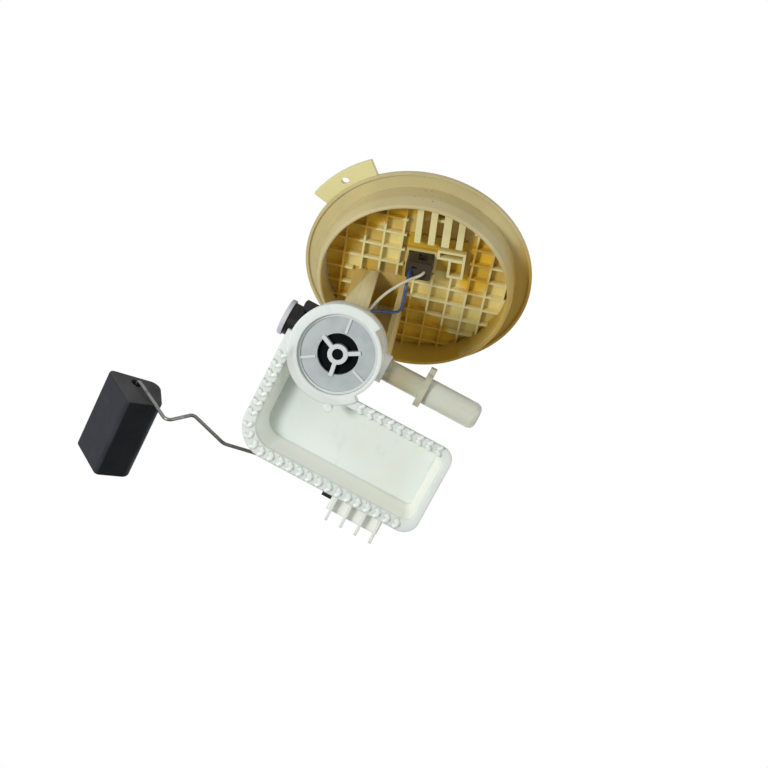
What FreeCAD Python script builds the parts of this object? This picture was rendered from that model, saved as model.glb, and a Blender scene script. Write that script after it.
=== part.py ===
import FreeCAD, Part
import math
import os

# Fuel tank sending unit: an open flange cover with a leg, an inclined foot housing with its
# tray, an inlet valve, a regulator, a transfer tube and a level sensor with arm and float.
# Millimetres. The row frame stands on the centre of the flange seat, +Z out of the tank.
# The housing frame T lies in the middle of the housing's open end: x along the tray's long
# edge, y along its short edge, z up the canister.
V = FreeCAD.Vector

# Clearances
RUN_GAP = 0.05          # radial, of a shaft turning or sliding in its bore
SLIP_GAP = 0.1          # radial, of pieces pushed together by hand
STAND_OFF = 0.3         # between faces that pass each other

# Flange cover
COVER_R = 65.8
COVER_T = 4.5
COVER_BEVEL, COVER_EDGE_Z = 3.4, 0.9
RIM_DROP, RIM_DROP_W = 1.2, 1.6
FLOOR_T = 3.0
SPIGOT_R = 56.5
SPIGOT_H = 10.0
SKIRT_H = 18.0
LIP_OUTER_R = 55.4
LIP_INNER_R = 53.2
RIB_PITCH_X, RIB_PITCH_Y = 10.55, 10.2
RIB_X, RIB_Y = -1.3, -4.0
RIB_TURN = 2.7
RIB_T = 1.3
RIB_H = 3.8
EAR_R = 75.0
EAR_T = 2.5
EAR_FROM, EAR_TO = 212.5, 244.0
EAR_HOLE_R = 2.3
EAR_HOLE_AT = 69.6
SHROUD_C = V(1.3, -10, 0)
SHROUD_L, SHROUD_W, SHROUD_H, SHROUD_T = 26.0, 17.0, 16.0, 2.0

# Guide block and harness plug under the cover
RAIL_H = 8.0
RAILS = ((-3.8, -0.3), (4.0, 7.7), (11.6, 16.0), (19.9, 23.7))
BLOCK_H = 6.5
BLOCK_WALL = 1.5
PLUG_X, PLUG_Y = -6.0, -15.5
PLUG_L, PLUG_W, PLUG_H = 14.6, 11.0, 14.2
PLUG_SHOULDER, PLUG_SHOULDER_H = 1.7, 3.6
PIN_GAP = 5.5
PIN_R = 1.0
WIRE_R = 0.85

# Leg
LEG_X, LEG_Y, LEG_W, LEG_D = -36.0, 5.0, 30.0, 28.0
LEG_WALL = 3.0
POST_W = 6.0
RIGHT_WALL_SETBACK = 6.0
WINDOW_FROM, WINDOW_TO, WINDOW_LOW, WINDOW_TOP = 4.5, 11.5, -78.0, -66.0
FOOT_T = 3.0
FOOT_CLEAR_Z = 48.0
PAD_LEFT, PAD_RIGHT, PAD_NEAR, PAD_FAR = -22.0, 10.0, -8.0, 37.0
FOOT_RING_T = 2.6
FOOT_SEAL_R = 0.9
FOOT_SEAL_DROP = 2.2
SCREW_X = (-16.0, 6.5)
SCREW_Y = 32.6
SCREW_R = 1.5
SCREW_HEAD_R, SCREW_HEAD_H = 3.0, 2.0

# Housing: place of frame T, canister and tray
HOUSING_AT = V(-29, -6, -93)
HOUSING_TILT = 30.0
HOUSING_TURN = 18.0
CAN_R = 23.5
CAN_BORE_R = 21.3
CAN_H = 28.0
COLLAR_R = 26.8
COLLAR_H = 6.0
COLLAR_PROUD = 1.0
COLLAR_FROM, COLLAR_TO = -59.0, 40.0
LEDGE_Z = 8.5
LEDGE_T = 1.6
LEDGE_W = 1.6
TRAY_LEFT, TRAY_RIGHT, TRAY_TOP, TRAY_LOW = -29.0, 79.5, 17.0, 69.0
TRAY_H = 20.0
TRAY_WALL = 2.0
RIM_T = 2.5
RIM_LEFT, RIM_LOW, RIM_RIGHT, RIM_TOP = 6.5, 6.5, 3.8, 5.0
DRAFT = 4.0
CORNER_LEFT, CORNER_LOW, CORNER_TOP = 18.0, 9.0, 7.5
TOOTH_PITCH = 5.8
TOOTH_H = 1.2
TOOTH_W, TOOTH_T = 2.6, 1.5
DIMPLE_A, DIMPLE_B, DIMPLE_R = 68.7, 20.8, 2.1
COMB_FROM, COMB_PITCH, COMB_COUNT, COMB_REACH, COMB_T = 34.2, 8.8, 4, 13.5, 1.5

# Inlet end: slotted cap and valve
CAP_Z = 2.2
CAP_T = 2.8
CAP_RIM_H = 0.9
HUB_R = 5.4
HUB_BORE_R = 3.0
SLOT_R = 11.0
SPOKE_W = 2.2
SPOKE_ANGLES = (-30.0, 82.0, 204.0)
THIN_RIB_ANGLES = (-96.0, 20.0, 147.0)
CAP_SEAL_R = 0.85
VALVE_R = 12.6
VALVE_T = 1.3
VALVE_LIFT = 1.5

# Strainer stack
PLATE_T = 2.0
STRAINER_R, STRAINER_IN_R, PLEATS, PLEAT_DEPTH = 18.5, 9.0, 22, 3.0

# Side fittings on one cross axis
CROSS_B = -2.2
CROSS_Z = 15.5
TUBE_R, TUBE_END_R, TUBE_BORE_R = 6.0, 7.25, 4.4
TUBE_STEP_A, TUBE_END_A = 50.1, 81.0
CLIP_A, CLIP_T, CLIP_R = 46.8, 3.3, 10.0
HOLDER_R, HOLDER_LIP_R = 9.0, 10.6
HOLDER_START_A, HOLDER_END_A = -24.8, -33.3
BOSS_R = 8.0
STRAP_T, STRAP_Z0, STRAP_Z1, STRAP_TO = 2.7, 9.0, 19.0, 250.0
REG_R, REG_NECK_R = 7.0, 4.0
DISC_R, DISC_T = 10.0, 1.8

# Level sensor
PAD_B = 63.5
BASE_T = 2.5
BASE_A0, BASE_A1, BASE_Z0, BASE_Z1 = 29.0, 75.0, 7.0, 36.0
CARD_T = 0.8
CARD_A0, CARD_A1, CARD_Z0, CARD_Z1 = 57.0, 73.0, 8.5, 27.0
PIVOT_A, PIVOT_Z = 52.0, 22.0
PIVOT_R = 2.45
ROTOR_T = 4.4
ROTOR_R = 8.0
ROTOR_ARM = 26.0
ROTOR_ARM_W = 8.0
TAIL_R = 14.0
PIVOT_POCKET = 1.8
LUG_A0, LUG_A1, LUG_B, LUG_Z0, LUG_Z1 = 26.5, 34.5, 76.8, 18.0, 22.0
ARM_WIRE_R = 1.0
ARM_BEND_R = 4.0
TERMINAL_A = (67.0, 62.0)
TERMINAL_Z = 31.0
BARREL_R = 1.3
BARREL_L = 5.0

# Float
FLOAT_AT = V(-90.7, 70.2, 18.0)
FLOAT_TILT, FLOAT_TURN = 12.0, 1.5
FLOAT_L = 51.0
FLOAT_SECTION = [(-18.0, -1.5), (4.2, -21.8), (19.5, -8.0), (9.6, 13.0)]
FLOAT_ROUND = [3.0, 3.0, 6.0, 6.0]
SINK_R, SINK_DEPTH = 3.2, 4.0

HOUSING = FreeCAD.Placement(
    HOUSING_AT,
    FreeCAD.Rotation(V(1, 0, 0), -HOUSING_TILT).multiply(FreeCAD.Rotation(V(0, 0, 1), HOUSING_TURN)),
)


def t_point(a, b, z):
    """A point of the housing frame, in the row frame."""
    return HOUSING.multVec(V(a, b, z))


def foot_point(x, y, z):
    """A point of the housing frame before its turn, in the row frame."""
    return t_point(*FreeCAD.Rotation(V(0, 0, 1), -HOUSING_TURN).multVec(V(x, y, z)))


def placed(shape):
    """A shape drawn in the housing frame, moved to the row frame."""
    moved = shape.copy()
    moved.Placement = HOUSING.multiply(moved.Placement)
    return moved


def block(x0, x1, y0, y1, z0, z1):
    return Part.makeBox(x1 - x0, y1 - y0, z1 - z0, V(x0, y0, z0))


def rod(radius, start, direction, length):
    return Part.makeCylinder(radius, length, V(*start), V(*direction))


def ring(outer, inner, start, direction, length):
    return rod(outer, start, direction, length).cut(rod(inner, start, direction, length))


def join(*shapes):
    return shapes[0].multiFuse(list(shapes[1:])).removeSplitter()


def turned(profile, centre=V(0, 0, 0), axis=V(0, 0, 1)):
    """A solid of revolution from (radius, height) corners."""
    wire = Part.makePolygon([V(r, 0, z) for r, z in profile + profile[:1]])
    solid = Part.Face(wire).revolve(V(0, 0, 0), V(0, 0, 1), 360)
    solid.Placement = FreeCAD.Placement(centre, FreeCAD.Rotation(V(0, 0, 1), axis))
    return solid


def rounded_wire(corners, radii):
    """A closed wire through corners, each rounded by its own radius, or sharp at 0."""
    edges, starts, ends = [], [], []
    count = len(corners)
    for i, corner in enumerate(corners):
        back = (corners[i - 1] - corner).normalize()
        ahead = (corners[(i + 1) % count] - corner).normalize()
        half = back.getAngle(ahead) / 2
        reach = radii[i] / math.tan(half) if radii[i] else 0
        starts.append(corner + back * reach)
        ends.append(corner + ahead * reach)
        if radii[i]:
            inward = (back + ahead).normalize()
            middle = corner + inward * (radii[i] / math.sin(half) - radii[i])
            edges.append(Part.Arc(starts[i], middle, ends[i]).toShape())
    for i in range(count):
        edges.append(Part.LineSegment(ends[i], starts[(i + 1) % count]).toShape())
    return Part.Wire(Part.__sortEdges__(edges))


def bent_rod(points, radii, radius):
    """A round rod along straight runs joined by tangent arcs."""
    edges, last = [], points[0]
    for i in range(1, len(points) - 1):
        back = (points[i - 1] - points[i]).normalize()
        ahead = (points[i + 1] - points[i]).normalize()
        half = back.getAngle(ahead) / 2
        reach = radii[i - 1] / math.tan(half)
        start, end = points[i] + back * reach, points[i] + ahead * reach
        middle = points[i] + (back + ahead).normalize() * (radii[i - 1] / math.sin(half) - radii[i - 1])
        edges.append(Part.LineSegment(last, start).toShape())
        edges.append(Part.Arc(start, middle, end).toShape())
        last = end
    edges.append(Part.LineSegment(last, points[-1]).toShape())
    path = Part.Wire(edges)
    section = Part.Wire(Part.makeCircle(radius, points[0], points[1] - points[0]))
    solid = path.makePipeShell([section], True, False)
    wanted = math.pi * radius ** 2 * path.Length
    print("rod", round(path.Length, 1), "mm, volume ratio", round(solid.Volume / wanted, 4))
    return solid


def cord(points):
    """A thin lead: each bend as large as its two runs allow."""
    radii = []
    for i in range(1, len(points) - 1):
        back, ahead = points[i - 1] - points[i], points[i + 1] - points[i]
        turn = math.pi - back.getAngle(ahead)
        radii.append(0.45 * min(back.Length, ahead.Length) / math.tan(turn / 2))
    print("bend radii", [round(r, 1) for r in radii])
    return bent_rod(points, radii, WIRE_R)


def flange_cover():
    floor_z = COVER_T - FLOOR_T
    cover = turned([
        (0, floor_z), (0, COVER_T), (COVER_R - COVER_BEVEL, COVER_T), (COVER_R, COVER_EDGE_Z),
        (COVER_R, -RIM_DROP), (COVER_R - RIM_DROP_W, -RIM_DROP), (COVER_R - RIM_DROP_W - 0.6, 0),
        (SPIGOT_R, 0), (SPIGOT_R, -SPIGOT_H), (LIP_OUTER_R, -SKIRT_H + 1), (LIP_OUTER_R - 0.8, -SKIRT_H),
        (LIP_INNER_R + 0.5, -SKIRT_H), (LIP_INNER_R, -SKIRT_H + 0.6), (LIP_INNER_R + 0.6, floor_z),
    ])
    ear = rod(EAR_R, (0, 0, 0), (0, 0, 1), EAR_T).cut(rod(COVER_R - 2, (0, 0, 0), (0, 0, 1), EAR_T))
    wedge = Part.makeCylinder(EAR_R + 5, EAR_T, V(0, 0, 0), V(0, 0, 1), EAR_TO - EAR_FROM)
    wedge.rotate(V(0, 0, 0), V(0, 0, 1), EAR_FROM)
    middle = math.radians((EAR_FROM + EAR_TO) / 2)
    hole_at = (EAR_HOLE_AT * math.cos(middle), EAR_HOLE_AT * math.sin(middle), 0)
    body = join(cover, ear.common(wedge), rib_grid(floor_z), shroud())
    hole = rod(EAR_HOLE_R, hole_at, (0, 0, 1), COVER_T * 2)
    holes = [rod(PIN_R + SLIP_GAP, (x, SHROUD_C.y, -2), (0, 0, 1), 12) for x in pin_places()]
    return body.cut(Part.Compound([hole] + holes))


def pin_places():
    middle = PLUG_X + PLUG_L / 2
    return (middle - PIN_GAP / 2, middle + PIN_GAP / 2)


def rib_grid(floor_z):
    """The waffle of ribs under the floor, left out round the plug and the leg."""
    slab = rod(LIP_INNER_R + 0.5, (0, 0, floor_z - RIB_H), (0, 0, 1), RIB_H)
    cells = []
    steps = range(-6, 6)
    cell_x, cell_y = RIB_PITCH_X - RIB_T, RIB_PITCH_Y - RIB_T
    for i in steps:
        for j in steps:
            x = RIB_X + i * RIB_PITCH_X + RIB_T / 2
            y = RIB_Y + j * RIB_PITCH_Y + RIB_T / 2
            near_x = max(abs(x + cell_x / 2) - cell_x / 2, 0)
            near_y = max(abs(y + cell_y / 2) - cell_y / 2, 0)
            if math.hypot(near_x, near_y) < LIP_INNER_R - 1:
                cells.append(block(x, x + cell_x, y, y + cell_y, floor_z - RIB_H, floor_z))
                cells[-1].rotate(V(0, 0, 0), V(0, 0, 1), RIB_TURN)
    plug_bay = block(-8.6, 29.2, -60, -1.2, floor_z - RIB_H, floor_z)
    leg_bay = block(LEG_X - 1.5, LEG_X + LEG_W + 1.5, LEG_Y - 1.5, LEG_Y + LEG_D + 1.5,
                    floor_z - RIB_H, floor_z)
    return slab.cut(Part.Compound(cells)).cut(Part.Compound([plug_bay, leg_bay]))


def shroud():
    """The oval socket for the vehicle's plug, on top of the cover."""
    def oval(length, width, z0, height):
        x, y = SHROUD_C.x - length / 2, SHROUD_C.y - width / 2
        corners = [V(x, y, z0), V(x + length, y, z0), V(x + length, y + width, z0), V(x, y + width, z0)]
        return Part.Face(rounded_wire(corners, [width / 2 - 1.5] * 4)).extrude(V(0, 0, height))
    outer = oval(SHROUD_L, SHROUD_W, COVER_T - 0.5, SHROUD_H + 0.5)
    inner = oval(SHROUD_L - 2 * SHROUD_T, SHROUD_W - 2 * SHROUD_T, COVER_T, SHROUD_H + 1)
    key = block(SHROUD_C.x - 4, SHROUD_C.x + 4, SHROUD_C.y + SHROUD_W / 2 - 0.5,
                SHROUD_C.y + SHROUD_W / 2 + 1.5, COVER_T, COVER_T + SHROUD_H - 4)
    return outer.cut(inner).fuse(key)


def guide_block():
    """Rails, pocket and spare socket beside the plug, with the header round it."""
    top = COVER_T - FLOOR_T
    low = top - BLOCK_H
    wall = BLOCK_WALL
    rails = [block(x0, x1, -54, -24.0, top - RAIL_H, top) for x0, x1 in RAILS]
    rails.append(block(RAILS[1][1] - 0.5, RAILS[2][0] + 0.5, -40.0, -38.5, low + 1, top))
    pocket = block(10.2, 26.4, -20.4, -14.4, low, top).cut(block(11.7, 24.9, -18.9, -15.9, low, top))
    spare = block(17.0, 26.4, -14.4, -3.0, low, top).cut(block(18.5, 24.9, -13.9, -4.5, low, top))
    x0, x1 = PLUG_X - wall - SLIP_GAP, PLUG_X + PLUG_L + wall + SLIP_GAP
    y0, y1 = PLUG_Y - wall - SLIP_GAP, PLUG_Y + PLUG_W + wall + SLIP_GAP
    header = block(x0, x1, y0, y1, -2.5, top).cut(
        block(x0 + wall, x1 - wall, y0 + wall, y1 - wall, -2.5, top))
    base = block(x0, 26.4, -25.5, y1, top - 1.2, top)
    holes = [rod(PIN_R + SLIP_GAP, (x, SHROUD_C.y, -2), (0, 0, 1), 12) for x in pin_places()]
    inside = rod(LIP_INNER_R - SLIP_GAP, (0, 0, top - RAIL_H - 1), (0, 0, 1), RAIL_H + 2)
    return join(*rails, pocket, spare, header, base).common(inside).cut(Part.Compound(holes))


def connector_pins():
    tip, foot = COVER_T + 8.5, -5.0
    pins = []
    for x in pin_places():
        pins.append(join(rod(PIN_R, (x, SHROUD_C.y, foot), (0, 0, 1), tip - foot),
                         Part.makeCone(PIN_R, PIN_R * 0.4, 1.2, V(x, SHROUD_C.y, tip), V(0, 0, 1))))
    return Part.Compound(pins)


def plug_low():
    return COVER_T - FLOOR_T - 1.2 - PLUG_H


def harness_plug():
    """The two-way plug, pushed up on the pins, with its window, groove and wire holes."""
    low, high = plug_low(), COVER_T - FLOOR_T - 1.2
    x1, y1 = PLUG_X + PLUG_L, PLUG_Y + PLUG_W
    body = block(PLUG_X, x1, PLUG_Y, y1, low, high)
    body = body.makeChamfer(1.2, [e for e in body.Edges if e.BoundBox.ZLength > PLUG_H - 1])
    shoulder = V(PLUG_SHOULDER, 0, 0)
    outline = [V(PLUG_X, PLUG_Y, low), V(x1, PLUG_Y, low), V(x1, PLUG_Y, high - PLUG_SHOULDER_H),
               V(x1, PLUG_Y, high) - shoulder, V(PLUG_X, PLUG_Y, high) + shoulder,
               V(PLUG_X, PLUG_Y, high - PLUG_SHOULDER_H)]
    body = body.common(Part.Face(Part.makePolygon(outline + outline[:1])).extrude(V(0, PLUG_W, 0)))
    cuts = [
        block(PLUG_X + 6.2, PLUG_X + 11.2, PLUG_Y - 1, PLUG_Y + 2.6, low + 3.6, low + 10.4),
        block(PLUG_X - 1, x1 + 1, PLUG_Y - 1, PLUG_Y + 0.7, low + 1.4, low + 2.4),
        block(PLUG_X + 3.4, PLUG_X + 6.4, PLUG_Y + 2.6, PLUG_Y + 4.2, low - 1, low + 2.2),
    ]
    for x in pin_places():
        cuts.append(rod(PIN_R + 1.0, (x, SHROUD_C.y, low + 2.5), (0, 0, 1), PLUG_H))
    for point in (BLUE_START, GREY_START):
        cuts.append(rod(WIRE_R + SLIP_GAP, (point.x, point.y, low - 1), (0, 0, 1), 3.0))
    return body.cut(Part.Compound(cuts))


def plug_lock():
    """The small latch slide in the plug's window."""
    low = plug_low()
    x0, x1 = PLUG_X + 6.2 + SLIP_GAP, PLUG_X + 11.2 - SLIP_GAP
    tongue = block(x0, x1, PLUG_Y + 0.6, PLUG_Y + 2.6, low + 3.7, low + 8.6)
    return tongue.cut(block(x0 + 1.2, x1 - 1.2, PLUG_Y - 1, PLUG_Y + 1.7, low + 4.9, low + 7.4))


def plug_contacts():
    low, length = plug_low() + 2.5, PLUG_H - 3.5
    return Part.Compound([
        ring(PIN_R + 0.9, PIN_R + RUN_GAP, (x, SHROUD_C.y, low), (0, 0, 1), length)
        for x in pin_places()])


BLUE_START = V(-3.3, -10.2, plug_low() + 1.6)
GREY_START = V(4.7, -9.9, plug_low() + 1.6)

# Routes of the two leads, chosen by hand: from the plug over the gap to the leg, out through
# the window in the leg's back, over the foot's pad and behind the tray to the sensor's barrels
BLUE_ROUTE = [
    BLUE_START, V(-3.3, -10.2, -16.5), V(-3.8, -4.4, -22.5), V(-3.9, 2.6, -26.2), V(-4.2, 7.4, -29.6),
    V(-7.4, 7.0, -33.0), V(-13.0, 2.4, -39.0), V(-20.8, -1.9, -47.0), V(-26.0, 5.0, -54.0),
    V(LEG_X + 6.0, LEG_Y + 10.0, -61.5), foot_point(LEG_X + 35.0, 22, 35.5),
    foot_point(LEG_X + 35.0, 34, 35), foot_point(0, 45, 31), t_point(20, 49.5, 27), t_point(36, 50, 25.5),
    t_point(50, 50, 27.5), t_point(57.5, 50.3, 29.8), t_point(62, 52.6, 31), t_point(62, 58.5, 31),
]
GREY_ROUTE = [
    GREY_START, V(4.7, -9.9, -15.8), V(-3.1, -8.7, -21.5), V(-11.9, -4.4, -28.0), V(-17.2, -1.5, -35.0),
    V(-19.7, -0.6, -42.0), V(-24.0, 3.0, -50.0), V(LEG_X + 9.0, LEG_Y + 9.0, -58.5),
    foot_point(LEG_X + 38.0, 22, 35.5), foot_point(LEG_X + 38.0, 34, 35), foot_point(4, 42, 31),
    t_point(26, 44, 26.5), t_point(38, 45, 25.5), t_point(50, 44.5, 26.5), t_point(57.5, 45, 28),
    t_point(64, 48.5, 30.3), t_point(67, 53, 31), t_point(67, 58.5, 31),
]


def support_leg():
    """The open channel under the cover, its inclined foot plate and plug ring."""
    top, low = COVER_T - FLOOR_T, -95.0
    x1, y1 = LEG_X + LEG_W, LEG_Y + LEG_D
    shell = join(
        block(LEG_X, x1, y1 - LEG_WALL, y1, low, top),
        block(LEG_X, LEG_X + LEG_WALL, LEG_Y, y1, low, top),
        block(x1 - LEG_WALL, x1, LEG_Y + RIGHT_WALL_SETBACK, y1, low, top),
        block(LEG_X, LEG_X + POST_W, LEG_Y, LEG_Y + LEG_WALL, low, top),
        block(LEG_X + LEG_W / 2 - 1, LEG_X + LEG_W / 2 + 1, y1 - LEG_WALL - 4, y1, low, top),
    )
    window = block(LEG_X + WINDOW_FROM, LEG_X + WINDOW_TO, y1 - LEG_WALL - 1, y1 + 1, WINDOW_LOW, WINDOW_TOP)
    foot_z = CAN_H
    foot_middle = foot_z + FOOT_T / 2
    # Just above the foot the channel keeps within the foot's own outline
    above = join(block(-90, 90, -90, 90, FOOT_CLEAR_Z, 200),
                 *foot_outline(foot_middle, FOOT_CLEAR_Z - foot_middle))
    channel = shell.cut(window).common(placed(above))
    plate = join(
        *foot_outline(foot_z, FOOT_T),
        ring(CAN_BORE_R - SLIP_GAP, CAN_BORE_R - SLIP_GAP - FOOT_RING_T,
             (0, 0, strainer_top()), (0, 0, 1), foot_z - strainer_top() + 0.5),
    )
    groove_r = FOOT_SEAL_R + 0.1
    groove = Part.makeTorus(CAN_BORE_R - groove_r, groove_r, V(0, 0, foot_z - FOOT_SEAL_DROP))
    screw_holes = at_screws(SCREW_R + 0.7, foot_z - 1, FOOT_T + 2)
    return join(channel, placed(plate.cut(groove).cut(Part.Compound(screw_holes))))


def foot_outline(z0, height):
    """The foot's disc over the canister and its pad over the tray's back.

    The pad is drawn unturned, square to the channel's walls.
    """
    corners = [V(PAD_LEFT, PAD_NEAR, z0), V(PAD_RIGHT, PAD_NEAR, z0),
               V(PAD_RIGHT, PAD_FAR, z0), V(PAD_LEFT, PAD_FAR, z0)]
    pad = Part.Face(rounded_wire(corners, [4, 4, 6, 6])).extrude(V(0, 0, height))
    pad.rotate(V(0, 0, 0), V(0, 0, 1), -HOUSING_TURN)
    return rod(CAN_R, (0, 0, z0), (0, 0, 1), height), pad


def at_screws(radius, z, height):
    """A rod at each of the two screws of the foot pad, in the housing frame."""
    turn = FreeCAD.Rotation(V(0, 0, 1), -HOUSING_TURN)
    return [rod(radius, turn.multVec(V(x, SCREW_Y, z)), (0, 0, 1), height) for x in SCREW_X]


def strainer_top():
    return CAN_H - 6.0


def tray_wire(inset, z):
    """The tray's outline at one height, each side drawn in by its own inset."""
    left, low, right, top = inset
    corners = [
        V(TRAY_LEFT + left, 0, z), V(TRAY_LEFT + left, TRAY_LOW - low, z),
        V(TRAY_RIGHT - right, TRAY_LOW - low, z), V(TRAY_RIGHT - right, TRAY_TOP + top, z),
        V(5, TRAY_TOP + top, z), V(5, 0, z),
    ]
    radii = [0, CORNER_LEFT - left * 0.7, CORNER_LOW - low * 0.6, CORNER_TOP - right * 0.6, 0, 0]
    return rounded_wire(corners, radii)


def tray():
    mouth = (RIM_LEFT, RIM_LOW, RIM_RIGHT, RIM_TOP)
    outside = tuple(m - TRAY_WALL for m in mouth)
    def deeper(inset, by):
        return tuple(m + by for m in inset)
    rim = Part.Face(tray_wire((0, 0, 0, 0), 0)).extrude(V(0, 0, RIM_T))
    pan = Part.makeLoft([tray_wire(outside, 0), tray_wire(deeper(outside, DRAFT), TRAY_H)], True, True)
    hollow_h = TRAY_H - TRAY_WALL
    hollow = Part.makeLoft([
        tray_wire(deeper(mouth, -DRAFT / hollow_h * 0.5), -0.5),
        tray_wire(deeper(mouth, DRAFT), hollow_h)], True, True)
    return rim.fuse(pan), hollow


def tooth(a, b, turn):
    """One chevron of the rim, its point along +x before it is turned."""
    w, t = TOOTH_W, TOOTH_T
    corners = [V(-w, -w, 0), V(-w + t, -w, 0), V(t, 0, 0), V(-w + t, w, 0), V(-w, w, 0), V(0, 0, 0)]
    shape = Part.Face(Part.makePolygon(corners + corners[:1])).extrude(V(0, 0, TOOTH_H + 0.3))
    shape.rotate(V(0, 0, 0), V(0, 0, 1), turn)
    shape.translate(V(a, b, -TOOTH_H))
    return shape


def teeth():
    """The chevrons along the rim's lower, upper and left sides."""
    shapes = []
    low_b = TRAY_LOW - RIM_LOW / 2
    for i in range(17):
        a = TRAY_RIGHT - CORNER_LOW - 1 - i * TOOTH_PITCH
        if a > TRAY_LEFT + CORNER_LEFT - 4:
            shapes.append(tooth(a, low_b, 0))
    top_b = TRAY_TOP + RIM_TOP / 2
    for i in range(9):
        shapes.append(tooth(TRAY_RIGHT - CORNER_TOP - 2 - i * TOOTH_PITCH, top_b, 180))
    left_a = TRAY_LEFT + RIM_LEFT / 2
    for i in range(6):
        shapes.append(tooth(left_a, TRAY_LOW - CORNER_LEFT - 2 - i * TOOTH_PITCH, 90))
    return shapes


def comb():
    """Fins below the tray's long wall and the web behind them."""
    end_a = COMB_FROM + (COMB_COUNT - 1) * COMB_PITCH
    shapes = [block(COMB_FROM - 2, end_a + 2, TRAY_LOW - 2, TRAY_LOW + COMB_REACH - 4.5, 4.6, 6.2)]
    for i in range(COMB_COUNT):
        a = COMB_FROM + i * COMB_PITCH
        fin = block(a, a + COMB_T, TRAY_LOW - 1, TRAY_LOW + COMB_REACH, 0, 5.4)
        shapes.append(fin)
    return shapes


def housing():
    """Canister and tray in one moulding."""
    walls, hollow = tray()
    can = rod(CAN_R, (0, 0, 0), (0, 0, 1), CAN_H)
    collar = rod(COLLAR_R, (0, 0, -COLLAR_PROUD), (0, 0, 1), COLLAR_H + COLLAR_PROUD)
    gap = Part.makeCylinder(COLLAR_R + 2, COLLAR_H + COLLAR_PROUD, V(0, 0, -COLLAR_PROUD), V(0, 0, 1),
                            COLLAR_TO - COLLAR_FROM)
    gap.rotate(V(0, 0, 0), V(0, 0, 1), COLLAR_FROM)
    collar = collar.cut(gap).fuse(rod(CAN_R, (0, 0, -COLLAR_PROUD), (0, 0, 1), 3))
    bore = rod(CAN_BORE_R, (0, 0, -5), (0, 0, 1), CAN_H + 10)
    keep_out = rod(CAN_R, (0, 0, -5), (0, 0, 1), TRAY_H + 5)
    body = join(walls, collar).cut(hollow.cut(keep_out)).fuse(can).cut(bore)
    ledge = ring(CAN_BORE_R + 0.5, CAN_BORE_R - LEDGE_W, (0, 0, LEDGE_Z - LEDGE_T), (0, 0, 1), LEDGE_T)
    boss_tube = rod(BOSS_R, (16, CROSS_B, CROSS_Z), (1, 0, 0), 10.0)
    boss_reg = rod(BOSS_R, (HOLDER_START_A, CROSS_B, CROSS_Z), (1, 0, 0), 6.0)
    spot = rod(2.4, (8.5, 27.5, -COLLAR_PROUD), (0, 0, 1), 4)
    pad = block(BASE_A0 - 1, BASE_A1 + 1, PAD_B - 4.5, PAD_B, RIM_T - 1, TERMINAL_Z - 4)
    hooks = [block(a, a + 6, PAD_B - 4.5, PAD_B + BASE_T + 1.2, BASE_Z0 - 2.2, BASE_Z0) for a in (31.0, 62.0)]
    posts = at_screws(4.0, TRAY_H - 2, CAN_H - TRAY_H + 2)
    body = join(body, ledge, boss_tube.cut(bore), boss_reg.cut(bore), spot, pad.cut(hollow),
                *[hook.cut(hollow) for hook in hooks], *posts, *comb(), *teeth())
    cuts = [
        rod(TUBE_R + RUN_GAP, (15, CROSS_B, CROSS_Z), (1, 0, 0), 20),
        rod(REG_NECK_R + SLIP_GAP, (-30, CROSS_B, CROSS_Z), (1, 0, 0), 15),
        rod(4.2, (PIVOT_A, PAD_B - PIVOT_POCKET, PIVOT_Z), (0, 1, 0), PIVOT_POCKET + 4),
        rod(DIMPLE_R, (DIMPLE_A, DIMPLE_B, -1), (0, 0, 1), 1.4),
    ]
    cuts += at_screws(SCREW_R, TRAY_H + 0.5, 12)
    return body.cut(Part.Compound(cuts))


def foot_screws():
    seat, tip = CAN_H + FOOT_T, TRAY_H + 1.0
    shanks = at_screws(SCREW_R - RUN_GAP, tip, seat - tip)
    heads = at_screws(SCREW_HEAD_R, seat, SCREW_HEAD_H)
    return Part.Compound([join(shank, head) for shank, head in zip(shanks, heads)])


def end_cap():
    """The slotted cap recessed in the canister's open end."""
    radius = CAN_BORE_R - SLIP_GAP
    top = CAP_Z + CAP_T
    cap = rod(radius, (0, 0, CAP_Z), (0, 0, 1), CAP_T)
    rim = ring(radius, radius - 1.3, (0, 0, CAP_Z - CAP_RIM_H), (0, 0, 1), CAP_RIM_H + 0.2)
    slots = ring(SLOT_R, HUB_R, (0, 0, CAP_Z - 1), (0, 0, 1), CAP_T + 2)
    bars = []
    for angle in SPOKE_ANGLES:
        bars.append(block(HUB_R - 1.5, SLOT_R + 1.2, -SPOKE_W / 2, SPOKE_W / 2, CAP_Z - 1.0, top))
        bars[-1].rotate(V(0, 0, 0), V(0, 0, 1), angle)
    for angle in THIN_RIB_ANGLES:
        bars.append(block(SLOT_R + 0.8, radius - 0.5, -0.7, 0.7, CAP_Z - 0.6, CAP_Z + 0.5))
        bars[-1].rotate(V(0, 0, 0), V(0, 0, 1), angle)
    hub = rod(HUB_R, (0, 0, CAP_Z - 1.2), (0, 0, 1), top - CAP_Z + 1.2)
    groove = Part.makeTorus(CAN_BORE_R - CAP_SEAL_R - 0.02, CAP_SEAL_R + 0.05, V(0, 0, CAP_Z + CAP_T / 2))
    bore = rod(HUB_BORE_R, (0, 0, 0), (0, 0, 1), 20)
    return join(cap.cut(slots), rim, hub, *bars).cut(bore).cut(groove)


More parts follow.
